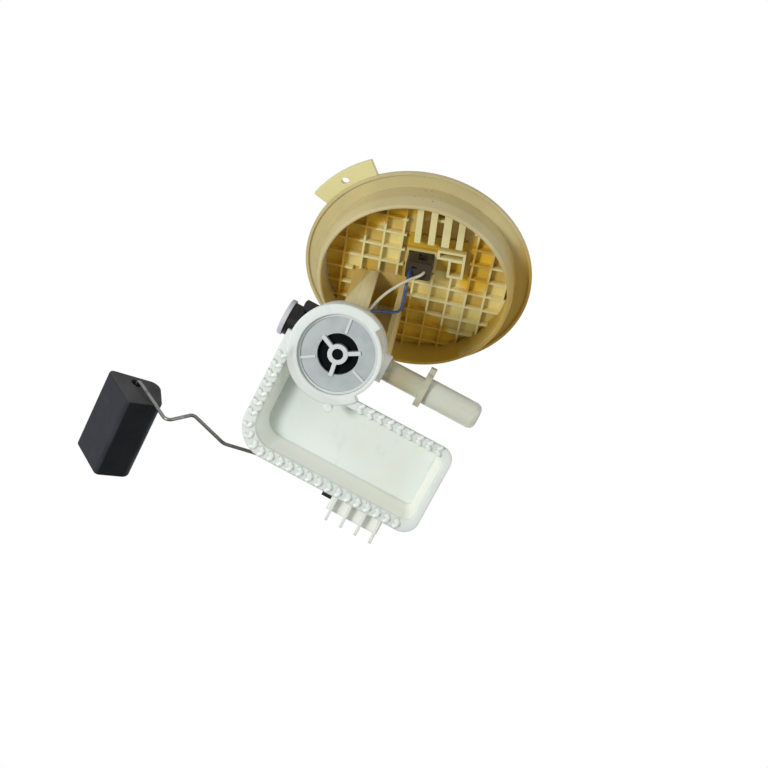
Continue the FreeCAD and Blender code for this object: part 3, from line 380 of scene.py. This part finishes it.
def cover_material(settings):
    """Nylon: ring and ear with painted amber shade towards the tube's side and painted shade at the
    ring's top, and a waffle floor with a painted shadow over part of it.
    """
    material, tree, shader = new_material("cover_nylon", settings.rim, 0.42)
    place = place_of(tree)
    height = coordinate(tree, place, "Z")
    flat = flattened(tree, place)
    radius = away_from(tree, flat, (0, 0, 0))
    under = between(tree, height, *UPPER_SIDE, 1.0, 0.0)
    inside = maths(tree, "MULTIPLY", between(tree, radius, *WAFFLE_EDGE, 1.0, 0.0), under)
    beyond = between(tree, radius, *RING_EDGE)
    cloud = noise(tree, place, 45.0, 4.0, 0.6)
    fine = noise(tree, place, 420.0, 3.0, 0.6)
    # Each cell of the waffle has its own shade
    grid = add(tree, "ShaderNodeMapping", {
        "Vector": flat, "Location": RIB_START, "Rotation": (0, 0, -settings.rib_turn),
    })
    cell = add(tree, "ShaderNodeVectorMath", {0: grid.outputs["Vector"], 1: (*settings.pitch, 1)},
               operation="SNAP")
    own = add(tree, "ShaderNodeTexWhiteNoise", {"Vector": cell.outputs["Vector"]}).outputs["Value"]
    uneven = maths(tree, "MULTIPLY", maths(tree, "ADD", own, cloud), 0.5)
    depth = between(tree, height, *RIB_DEPTH)
    pale_cell = blend(tree, between(tree, uneven, 0.25, 0.7), settings.palest_cell, settings.cell)
    pale = blend(tree, depth, settings.rib, pale_cell)
    # Painted shadow: darker amber copies of the ribs and cells, used where the floor is darkened
    dark_cell = blend(tree, between(tree, uneven, 0.3, 0.8), settings.shadow_and_stain,
                      shaded(settings.shadow_and_stain, 0.84))
    dark = blend(tree, depth, settings.rib_darkened, dark_cell)
    waffle = blend(tree, darkened(tree, place, cloud), pale, dark)
    # Painted shade: the floor in the leg's channel, paler than the painted shadow around it
    bay = away_from(tree, flat, BAY_AT)
    waffle = blend(tree, between(tree, bay, 0.0085, 0.0125, 0.85, 0.0), waffle, settings.bay)
    # The ring and the skirt
    # Painted amber shade on the ring and skirt towards the tube's side, away from the key lamp
    far = reach(tree, place, (0.707, 0.707, 0))
    toward_shade = maths(tree, "ADD", far, maths(tree, "MULTIPLY", cloud, 0.012))
    amber_shade = maths(tree, "MULTIPLY", between(tree, toward_shade, 0.008, 0.046), under)
    shade = blend(tree, between(tree, cloud, 0.4, 0.75), settings.rim, shaded(settings.rim, 0.88))
    shade = blend(tree, amber_shade, shade, settings.amber_shade)
    near_dirt_and_shade = away_from(tree, place, DIRT_AND_SHADE_AT)
    amount = between(tree, near_dirt_and_shade, 0.004, 0.020, 0.64, 0.76)
    # Painted shade: the ring is darker near its top
    top_shade = between(tree, near_dirt_and_shade, 0.015, 0.045, 0.6, 0.0)
    shade = blend(tree, top_shade, shade, shaded(settings.rim, 0.8))
    dirty = between(tree, maths(tree, "SUBTRACT", fine, amount), 0.0, 0.03)
    shade = blend(tree, maths(tree, "MULTIPLY", dirty, 0.85), shade, settings.speck)
    shade = blend(tree, beyond, shade, settings.ear)
    tree.links.new(blend(tree, inside, shade, waffle), shader.inputs["Base Color"])
    let_light_in(shader, 0.12, 0.002)
    soften(tree, shader, 0.0006, fine, 0.2, 0.0001)
    return material


def leg_material(settings):
    """The same nylon as the cover, with run marks and a painted amber shade towards the right wall.
    """
    material, tree, shader = new_material("leg_nylon", settings.leg, 0.42)
    place = place_of(tree)
    runs = noise(tree, place, 90.0, 4.0, 0.6, (1, 1, 0.18))
    colour = blend(tree, between(tree, runs, 0.42, 0.7), settings.leg, shaded(settings.leg, 0.8))
    # Painted shade: amber towards the leg's right wall
    right = maths(tree, "ADD", coordinate(tree, place, "X"), maths(tree, "MULTIPLY", runs, 0.008))
    colour = blend(tree, between(tree, right, -0.024, -0.004, 0.0, 0.5), colour, settings.amber_shade)
    # The upper left corner, above a slanting line, takes the colour of the pale floor cells beside
    # it
    slant = reach(tree, place, (1, 0, -0.298))
    corner = maths(tree, "ADD", slant, maths(tree, "MULTIPLY", runs, 0.002))
    colour = blend(tree, between(tree, corner, -0.0268, -0.0248, 0.8, 0.0), colour, settings.cell)
    tree.links.new(colour, shader.inputs["Base Color"])
    let_light_in(shader, 0.12, 0.002)
    soften(tree, shader, 0.0004, runs, 0.15, 0.0001)
    return material


def rail_material(settings):
    """Rails and sockets: pale edges over a root in painted shade."""
    material, tree, shader = new_material("rail_nylon", settings.rib, 0.42)
    place = place_of(tree)
    depth = between(tree, coordinate(tree, place, "Z"), *RAIL_DEPTH)
    cloud = noise(tree, place, 60.0, 4.0)
    rib = blend(tree, between(tree, cloud, 0.4, 0.7), settings.rib, shaded(settings.rib, 0.85))
    # Painted shade at the rails' root, next to the floor
    colour = blend(tree, depth, rib, shaded(settings.shadow_and_stain, 0.7))
    tree.links.new(colour, shader.inputs["Base Color"])
    soften(tree, shader, 0.0003, cloud, 0.1, 0.0001)
    return material


def housing_material(settings):
    """Milky acetal, cooler at thick edges, with faint warm patches, painted light on the tray's
    walls and a painted shadow on the left end of the tray's floor.
    """
    material, tree, shader = new_material("housing_acetal", settings.milky, 0.36)
    place = place_of(tree)
    cloud = noise(tree, place, 26.0, 4.0, 0.55)
    smear = noise(tree, place, 75.0, 5.0, 0.6, (1, 0.35, 0.6))
    fine = noise(tree, place, 500.0, 2.0)
    colour = blend(tree, between(tree, cloud, 0.5, 0.75), settings.milky, settings.shadow_and_stain)
    colour = blend(tree, between(tree, smear, 0.55, 0.75, 0.0, 0.6), colour, settings.edge)
    height = housing_reach(tree, place, (0, 0, 1))
    # Painted shadow: darker and cooler floor at the tray's left end
    left = between(tree, housing_reach(tree, place, (1, 0, 0)), *TRAY_LEFT, 0.65, 0.0)
    floor = between(tree, height, *TRAY_FLOOR)
    colour = blend(tree, maths(tree, "MULTIPLY", left, floor), colour, settings.shade)
    off_floor = between(tree, height, *TRAY_FLOOR, 1.0, 0.0)
    # Painted light: the tray's walls near white
    walls = maths(tree, "MULTIPLY", between(tree, height, *TRAY_EDGE), off_floor)
    colour = blend(tree, walls, colour, settings.wall)
    tree.links.new(colour, shader.inputs["Base Color"])
    tree.links.new(between(tree, smear, 0.35, 0.7, 0.28, 0.5), shader.inputs["Roughness"])
    let_light_in(shader, 0.5, 0.006)
    shader.inputs["Subsurface Radius"].default_value = (1.0, 1.1, 1.0)
    soften(tree, shader, 0.0012, fine, 0.08, 0.0001)
    return material


def chevron_material(settings):
    """The rim's chevrons: acetal painted brighter than the housing as painted light on the raised
    bumps, with a wet gloss.
    """
    material, tree, shader = new_material("chevron_acetal", settings.chevron, 0.3)
    cloud = noise(tree, place_of(tree), 70.0, 3.0)
    tree.links.new(blend(tree, between(tree, cloud, 0.4, 0.65), settings.chevron, settings.milky),
                   shader.inputs["Base Color"])
    tree.links.new(between(tree, cloud, 0.35, 0.7, 0.25, 0.5), shader.inputs["Roughness"])
    return material


def tube_material(settings):
    """Milky nylon, darker and yellower towards the canister, with a wet gloss."""
    material, tree, shader = new_material("tube_nylon", settings.tube, 0.24)
    place = place_of(tree)
    streaks = noise(tree, place, 120.0, 3.0, 0.6, (0.25, 1, 1))
    out = housing_reach(tree, place, (1, 0, 0))
    colour = blend(tree, between(tree, out, *TUBE_NECK), settings.neck, settings.tube)
    paler = tuple(min(c * 1.12, 0.9) for c in settings.tube)
    tree.links.new(blend(tree, between(tree, streaks, 0.5, 0.72, 0.0, 0.7), colour, paler),
                   shader.inputs["Base Color"])
    let_light_in(shader, 0.35, 0.004)
    soften(tree, shader, 0.0005, streaks, 0.06, 0.0001)
    return material


def holder_material(settings):
    """Black cup, whose band runs out in milky acetal round the canister."""
    black, worn = srgb(28, 28, 30), srgb(22, 22, 24)
    material, tree, shader = new_material("holder_plastic", black, 0.45)
    place = place_of(tree)
    out = housing_reach(tree, place, (1, 0, 0))
    grain = noise(tree, place, 700.0, 2.0)
    black = blend(tree, between(tree, grain, 0.4, 0.7), black, worn)
    colour = blend(tree, between(tree, out, *STRAP_END), black, settings.milky)
    tree.links.new(colour, shader.inputs["Base Color"])
    shader.inputs["Specular IOR Level"].default_value = 0.25
    soften(tree, shader, 0.0003, grain, 0.1, 0.00005)
    return material


def cap_material(settings):
    """Grey plate with paler hub, spokes and ring, told apart by their height in the canister."""
    material, tree, shader = new_material("cap_plastic", settings.cap, 0.38)
    place = place_of(tree)
    proud = between(tree, housing_reach(tree, place, (0, 0, 1)), *PLATE_FACE, 1.0, 0.0)
    cloud = noise(tree, place, 110.0, 4.0)
    plate = blend(tree, between(tree, cloud, 0.4, 0.7), settings.cap, shaded(settings.cap, 0.87))
    tree.links.new(blend(tree, proud, plate, settings.spoke), shader.inputs["Base Color"])
    soften(tree, shader, 0.0003, cloud, 0.06, 0.0001)
    return material


def foam_material(settings):
    """Closed-cell foam with its skin: fine pores and a matt sheen, a painted shadow on one side
    face and painted light on the end face.
    """
    material, tree, shader = new_material("float_foam", settings.foam, 0.62)
    shader.inputs["Specular IOR Level"].default_value = 0.15
    place = place_of(tree)
    cells = add(tree, "ShaderNodeTexVoronoi", {"Vector": place, "Scale": 1400.0})
    cloud = noise(tree, place, 60.0, 5.0, 0.6)
    lighter = tuple(min(c * 1.4 + 0.004, 1.0) for c in settings.foam)
    colour = blend(tree, between(tree, cloud, 0.42, 0.72), settings.foam, lighter)

    def beyond(direction, low, high):
        """The skin past a plane across the float, in millimetres from its end on the arm."""
        tilted = Matrix.Rotation(FLOAT_TILT, 3, "X") @ Vector(direction)
        normal = Matrix.Rotation(FLOAT_TURN, 3, "Z") @ tilted
        depth = housing_reach(tree, place, normal, FLOAT_AT)
        return between(tree, depth, low / 1000, high / 1000)

    # Painted shadow: the float's side face along this normal is much darker
    colour = blend(tree, beyond((0.67, 0, -0.743), 18.2, 19.0), colour, shaded(settings.foam, 0.3))
    # Painted light: the end face by the hole is lighter
    colour = blend(tree, beyond((0, -1, 0), -0.8, 0.0), colour, settings.lit_end)
    tree.links.new(colour, shader.inputs["Base Color"])
    tree.links.new(between(tree, cloud, 0.3, 0.7, 0.5, 0.75), shader.inputs["Roughness"])
    soften(tree, shader, 0.0006, cells.outputs["Distance"], 0.25, 0.00015)
    return material


def steel_material(name, colour, roughness):
    """Drawn or pressed metal with fine marks and a little tarnish."""
    material, tree, shader = new_material(name, colour, roughness, 1.0)
    place = place_of(tree)
    marks = noise(tree, place, 1200.0, 2.0, 0.5, (0.3, 1, 1))
    tarnish = noise(tree, place, 160.0, 4.0, 0.6)
    tree.links.new(blend(tree, between(tree, tarnish, 0.5, 0.72), colour, shaded(colour, 0.55)),
                   shader.inputs["Base Color"])
    tree.links.new(between(tree, tarnish, 0.4, 0.7, roughness, min(roughness * 1.7, 1.0)),
                   shader.inputs["Roughness"])
    soften(tree, shader, 0.0002, marks, 0.08, 0.00005)
    return material


def lead_material(name, colour):
    """Insulation with a soft gloss and slight dulling along it."""
    material, tree, shader = new_material(name, colour, 0.33)
    cloud = noise(tree, place_of(tree), 220.0, 3.0)
    tree.links.new(blend(tree, between(tree, cloud, 0.4, 0.7), colour, shaded(colour, 0.75)),
                   shader.inputs["Base Color"])
    tree.links.new(between(tree, cloud, 0.4, 0.7, 0.28, 0.5), shader.inputs["Roughness"])
    return material


def lead(name, points, diameter, material, body):
    """A lead on a smooth spline through its route's points."""
    curve = bpy.data.curves.new(name, "CURVE")
    curve.dimensions = "3D"
    curve.bevel_depth = diameter / 2
    curve.bevel_resolution = 5
    curve.resolution_u = 8
    curve.use_fill_caps = True
    spline = curve.splines.new("NURBS")
    spline.points.add(len(points) - 1)
    for target, point in zip(spline.points, points):
        target.co = (*point, 1)
    spline.order_u = 3
    spline.use_endpoint_u = True
    piece = bpy.data.objects.new(name, curve)
    bpy.context.collection.objects.link(piece)
    curve.materials.append(material)
    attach(piece, body)
    return piece


def spline_length(piece):
    """The real length of a lead's spline."""
    bare = piece.copy()
    bare.data = piece.data.copy()
    bare.data.bevel_depth = 0.0
    bare.data.use_fill_caps = False
    bpy.context.collection.objects.link(bare)
    line = bpy.data.meshes.new_from_object(bare)
    spots = [corner.co for corner in line.vertices]
    total = sum((spots[edge.vertices[0]] - spots[edge.vertices[1]]).length for edge in line.edges)
    bpy.data.objects.remove(bare)
    bpy.data.meshes.remove(line)
    return total


def blue_route():
    return [
        row_point(-3.3, -10.2, -12.3), row_point(-3.3, -10.2, -16.5), row_point(-3.8, -4.4, -22.5),
        row_point(-3.9, 2.6, -26.2), row_point(-4.2, 7.4, -29.6), row_point(-7.4, 7.0, -33.0),
        row_point(-13.0, 2.4, -39.0), row_point(-20.8, -1.9, -47.0), row_point(-26.0, 5.0, -54.0),
        row_point(-30.0, 15.0, -61.5), foot_point(-1, 22, 35.5), foot_point(-1, 34, 35),
        foot_point(0, 45, 31), housing_point(20, 49.5, 27), housing_point(36, 50, 25.5),
        housing_point(50, 50, 27.5), housing_point(57.5, 50.3, 29.8), housing_point(62, 52.6, 31),
        housing_point(62, 58.5, 31),
    ]


def grey_route():
    return [
        row_point(4.7, -9.9, -12.3), row_point(4.7, -9.9, -15.8), row_point(-3.1, -8.7, -21.5),
        row_point(-11.9, -4.4, -28.0), row_point(-17.2, -1.5, -35.0), row_point(-19.7, -0.6, -42.0),
        row_point(-24.0, 3.0, -50.0), row_point(-27.0, 14.0, -58.5), foot_point(2, 22, 35.5),
        foot_point(2, 34, 35), foot_point(4, 42, 31), housing_point(26, 44, 26.5),
        housing_point(38, 45, 25.5), housing_point(50, 44.5, 26.5), housing_point(57.5, 45, 28),
        housing_point(64, 48.5, 30.3), housing_point(67, 53, 31), housing_point(67, 58.5, 31),
    ]


class SENDER_OT_cover(bpy.types.Operator):
    """Finish the flange cover, its rails and the leg"""
    bl_idname = "sender.cover"
    bl_label = "Finish Cover"

    def execute(self, context):
        settings = context.scene.sender_cover
        finish_node("flange_cover", cover_material(settings))
        finish_node("guide_block", rail_material(settings))
        finish_node("support_leg", leg_material(settings))
        return {"FINISHED"}


class SENDER_OT_connector(bpy.types.Operator):
    """Finish the pins, the plug, its latch and its contacts"""
    bl_idname = "sender.connector"
    bl_label = "Finish Connector"

    def execute(self, context):
        brass = steel_material("contact_brass", BRASS, 0.3)
        finish_node("connector_pins", brass)
        finish_node("plug_contacts", brass)
        plug = plain_finish("plug_nylon", srgb(70, 61, 47), 0.5, specular=0.2)
        finish_node("harness_plug", plug)
        latch = plain_finish("latch_nylon", srgb(44, 39, 34), 0.5, specular=0.25)
        finish_node("plug_lock", latch)
        return {"FINISHED"}


class SENDER_OT_leads(bpy.types.Operator):
    """Lay the two leads from the plug to the sensor"""
    bl_idname = "sender.leads"
    bl_label = "Lay Leads"

    def execute(self, context):
        settings = context.scene.sender_leads
        for name, points, colour in (
            ("lead_blue", blue_route(), settings.blue),
            ("lead_grey", grey_route(), settings.grey),
        ):
            material = lead_material(name, colour)
            piece = lead(name + "_cable", points, settings.diameter, material, "carrier")
            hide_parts(name)
            spline_length(piece)
        return {"FINISHED"}


class SENDER_OT_housing(bpy.types.Operator):
    """Finish the canister with its tray and all that closes or fills it"""
    bl_idname = "sender.housing"
    bl_label = "Finish Housing"

    def execute(self, context):
        settings = context.scene.sender_housing
        finish_node("housing", housing_material(settings))
        finish_node("end_cap", cap_material(settings))
        valve = plain_finish("valve_rubber", srgb(10, 16, 16), 0.6, specular=0.06)
        finish_node("inlet_valve", valve)
        finish_node("foot_screws", steel_material("zinc_screws", srgb(176, 172, 160), 0.35))
        rubber = plain_finish("seal_rubber", srgb(26, 26, 27), 0.6, specular=0.25)
        finish_node("foot_seal", rubber)
        finish_node("cap_seal", rubber)
        plate = plain_finish("strainer_plastic", srgb(222, 222, 214), 0.45)
        finish_node("strainer_lower_plate", plate)
        finish_node("strainer_upper_plate", plate)
        mesh = plain_finish("strainer_mesh", srgb(205, 200, 168), 0.8, grain=2500.0, strength=0.5)
        finish_node("strainer_sleeve", mesh)
        return {"FINISHED"}


class SENDER_OT_web(bpy.types.Operator):
    """Set the web between the leg's left wall and its open front"""
    bl_idname = "sender.web"
    bl_label = "Set Web"

    def execute(self, context):
        bpy.ops.object.select_all(action="DESELECT")
        bpy.ops.mesh.primitive_cube_add(size=1)
        piece = context.object
        piece.name = "leg_web"
        piece.scale = WEB_SIZE
        bpy.ops.object.transform_apply(scale=True)
        for corner in piece.data.vertices:
            if corner.co.z < 0 and corner.co.x > 0:
                corner.co.z += WEB_CUT
        round_edges(piece, 0.0005, 3)
        piece.location = row_point(*WEB_AT)
        bpy.ops.object.transform_apply(location=True)
        bpy.ops.object.shade_smooth_by_angle(angle=math.radians(30))
        piece.data.materials.append(NODES["support_leg"].data.materials[0])
        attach(piece, "carrier")
        return {"FINISHED"}


def chevron_places():
    """Place in millimetres of the housing's frame and turn in degrees of the rim's chevrons."""
    places = [(69.5 - CHEVRON_PITCH * i, 65.75, 0) for i in range(15)]
    places += [(70.0 - CHEVRON_PITCH * i, 19.5, 180) for i in range(9)]
    places += [(-25.75, 49.0 - CHEVRON_PITCH * i, 90) for i in range(7)]
    for angle in (113, 136, 159):
        around = math.radians(angle)
        places.append((CORNER_AT[0] + CORNER_RADIUS * math.cos(around),
                       CORNER_AT[1] + CORNER_RADIUS * math.sin(around), angle - 90))
    return places


class SENDER_OT_chevrons(bpy.types.Operator):
    """Raise the soft chevrons of the tray's rim over the sharp ones"""
    bl_idname = "sender.chevrons"
    bl_label = "Raise Chevrons"

    def execute(self, context):
        settings = context.scene.sender_housing
        bpy.ops.object.select_all(action="DESELECT")
        arms = []
        for a, b, turn in chevron_places():
            for side in (1, -1):
                bpy.ops.mesh.primitive_cube_add(size=1)
                arm = context.object
                arm.scale = ARM_SIZE
                bpy.ops.object.transform_apply(scale=True)
                slant = math.radians(turn - 45 * side)
                arm.rotation_euler = (0, 0, slant)
                middle = Matrix.Rotation(slant, 3, "Z") @ Vector((ARM_REACH, 0, 0))
                apex = Matrix.Rotation(math.radians(turn), 3, "Z") @ Vector((APEX_SHIFT, 0, 0))
                arm.location = (Vector((a, b, 0)) + apex + middle) / 1000
                bpy.ops.object.transform_apply(location=True, rotation=True)
                arms.append(arm)
        for arm in arms:
            arm.select_set(True)
        context.view_layer.objects.active = arms[0]
        bpy.ops.object.join()
        piece = context.object
        piece.name = "rim_chevrons"
        round_edges(piece, ARM_ROUND, 4)
        tilted = Matrix.Translation(HOUSING_AT) @ Matrix.Rotation(-HOUSING_TILT, 4, "X")
        piece.matrix_world = tilted @ Matrix.Rotation(HOUSING_TURN, 4, "Z")
        bpy.ops.object.transform_apply(location=True, rotation=True)
        bpy.ops.object.shade_smooth()
        piece.data.materials.append(chevron_material(settings))
        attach(piece, "carrier")
        return {"FINISHED"}


class SENDER_OT_fittings(bpy.types.Operator):
    """Finish the cross tube and the pressure regulator"""
    bl_idname = "sender.fittings"
    bl_label = "Finish Fittings"

    def execute(self, context):
        finish_node("transfer_tube", tube_material(context.scene.sender_housing))
        finish_node("tube_clip", plain_finish("clip_nylon", srgb(194, 192, 166), 0.35))
        finish_node("regulator_holder", holder_material(context.scene.sender_housing))
        finish_node("regulator", steel_material("regulator_can", srgb(180, 178, 172), 0.3))
        finish_node("regulator_plate", plain_finish("plate_plastic", srgb(206, 208, 214), 0.4))
        return {"FINISHED"}


class SENDER_OT_sensor(bpy.types.Operator):
    """Finish the level sensor"""
    bl_idname = "sender.sensor"
    bl_label = "Finish Sensor"

    def execute(self, context):
        finish_node("sensor_base", plain_finish("sensor_acetal", srgb(200, 201, 174), 0.42))
        finish_node("resistor_card", plain_finish("card_ceramic", srgb(232, 230, 220), 0.55))
        finish_node("card_tracks", steel_material("track_ink", srgb(120, 112, 98), 0.5))
        finish_node("sensor_terminals", steel_material("terminal_brass", BRASS, 0.3))
        finish_node("rotor", plain_finish("rotor_acetal", srgb(34, 34, 36), 0.45, specular=0.25))
        finish_node("wiper", steel_material("wiper_spring", srgb(196, 186, 158), 0.28))
        return {"FINISHED"}


class SENDER_OT_float(bpy.types.Operator):
    """Finish the float, its arm and its clip"""
    bl_idname = "sender.float"
    bl_label = "Finish Float"

    def execute(self, context):
        settings = context.scene.sender_float
        finish_node("float", foam_material(settings))
        finish_node("arm_wire", steel_material("arm_steel", settings.steel, 0.34))
        finish_node("float_clip", steel_material("clip_steel", settings.steel, 0.3))
        return {"FINISHED"}


def lamp(name, at, size, power):
    """A round soft lamp, turned to where all lamps aim."""
    data = bpy.data.lights.new(name, "AREA")
    data.shape = "DISK"
    data.size = size
    data.energy = power
    piece = bpy.data.objects.new(name, data)
    bpy.context.collection.objects.link(piece)
    piece.location = at
    piece.rotation_euler = (LAMP_AIM - at).to_track_quat("-Z", "Y").to_euler()


def camera_axes():
    """The camera's right, down and forward directions, as rows in the row frame."""
    seen_x = (SEEN_X - SEEN_X.dot(SEEN_Z) * SEEN_Z).normalized()
    return Matrix((seen_x, SEEN_Z.cross(seen_x), SEEN_Z)).transposed()


class SENDER_OT_stage(bpy.types.Operator):
    """Set the floor, the lamps, the world and the camera"""
    bl_idname = "sender.stage"
    bl_label = "Set Stage"

    def execute(self, context):
        settings = context.scene.sender_stage
        axes = camera_axes()
        eye = -(axes.transposed() @ SEEN_ORIGIN)
        right, up, back = axes.row[0], -axes.row[1], -axes.row[2]
        data = bpy.data.cameras.new("photo_camera")
        data.sensor_width = 36.0
        data.lens = FOCAL_PX / PHOTO_PX * data.sensor_width
        data.clip_start, data.clip_end = 0.01, 20.0
        camera = bpy.data.objects.new("photo_camera", data)
        context.collection.objects.link(camera)
        turn = Matrix((right, up, back)).transposed().to_4x4()
        camera.matrix_world = Matrix.Translation(eye) @ turn
        context.scene.camera = camera

        bpy.ops.object.select_all(action="DESELECT")
        bpy.ops.mesh.primitive_grid_add(x_subdivisions=6, y_subdivisions=6, size=6,
                                        location=(0, 0, settings.floor_height))
        floor = context.object
        floor.name = "floor"
        bpy.ops.object.transform_apply(location=True)
        floor.data.materials.append(new_material("floor_paper", settings.floor, 0.8)[0])

        lamp("key_lamp", LAMP_AIM + KEY_FROM * KEY_AWAY, settings.key_size, settings.key)
        fill_at = LAMP_AIM + back * 0.6 - up * 0.1 + right * 0.9
        lamp("fill_lamp", fill_at, 0.8, settings.fill)

        world = bpy.data.worlds.new("studio")
        context.scene.world = world
        world.use_nodes = True
        tree = world.node_tree
        tree.nodes.clear()
        rays = add(tree, "ShaderNodeLightPath")
        seen = maths(tree, "MAXIMUM", rays.outputs["Is Camera Ray"],
                     rays.outputs["Is Transmission Ray"])
        seen = maths(tree, "MAXIMUM", seen, rays.outputs["Is Glossy Ray"])
        light = add(tree, "ShaderNodeBackground", {"Color": (1, 1, 1, 1), "Strength": settings.sky})
        white = add(tree, "ShaderNodeBackground", {"Color": (1, 1, 1, 1), "Strength": 1.0})
        mix = add(tree, "ShaderNodeMixShader", {0: seen, 1: light.outputs[0], 2: white.outputs[0]})
        output = add(tree, "ShaderNodeOutputWorld")
        tree.links.new(mix.outputs[0], output.inputs["Surface"])
        context.scene.view_settings.view_transform = "Standard"
        return {"FINISHED"}


OPERATORS = (
    SENDER_OT_cover, SENDER_OT_web, SENDER_OT_connector, SENDER_OT_leads, SENDER_OT_housing,
    SENDER_OT_chevrons, SENDER_OT_fittings, SENDER_OT_sensor, SENDER_OT_float, SENDER_OT_stage,
)
SETTINGS = {
    "sender_cover": SenderCoverSettings, "sender_housing": SenderHousingSettings,
    "sender_leads": SenderLeadSettings, "sender_float": SenderFloatSettings,
    "sender_stage": SenderStageSettings,
}


class SENDER_PT_panel(bpy.types.Panel):
    """Sizes, colours and steps of the sending unit"""
    bl_idname = "SENDER_PT_panel"
    bl_label = "Sending Unit"
    bl_space_type = "VIEW_3D"
    bl_region_type = "UI"
    bl_category = "Sending Unit"

    def draw(self, context):
        for group in SETTINGS:
            settings = getattr(context.scene, group)
            box = self.layout.box()
            for key in settings.__annotations__:
                box.prop(settings, key)
        for operator in OPERATORS:
            self.layout.operator(operator.bl_idname)


def register():
    for group in SETTINGS.values():
        bpy.utils.register_class(group)
    for operator in OPERATORS:
        bpy.utils.register_class(operator)
    bpy.utils.register_class(SENDER_PT_panel)
    for key, group in SETTINGS.items():
        setattr(bpy.types.Scene, key, bpy.props.PointerProperty(type=group))


def unregister():
    for key in SETTINGS:
        delattr(bpy.types.Scene, key)
    bpy.utils.unregister_class(SENDER_PT_panel)
    for operator in reversed(OPERATORS):
        bpy.utils.unregister_class(operator)
    for group in reversed(SETTINGS.values()):
        bpy.utils.unregister_class(group)


def main():
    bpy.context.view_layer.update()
    register()
    bpy.ops.object.select_all(action="DESELECT")
    for operator in OPERATORS:
        section, step = operator.bl_idname.split(".")
        getattr(getattr(bpy.ops, section), step)()


if __name__ == "__main__":
    main()
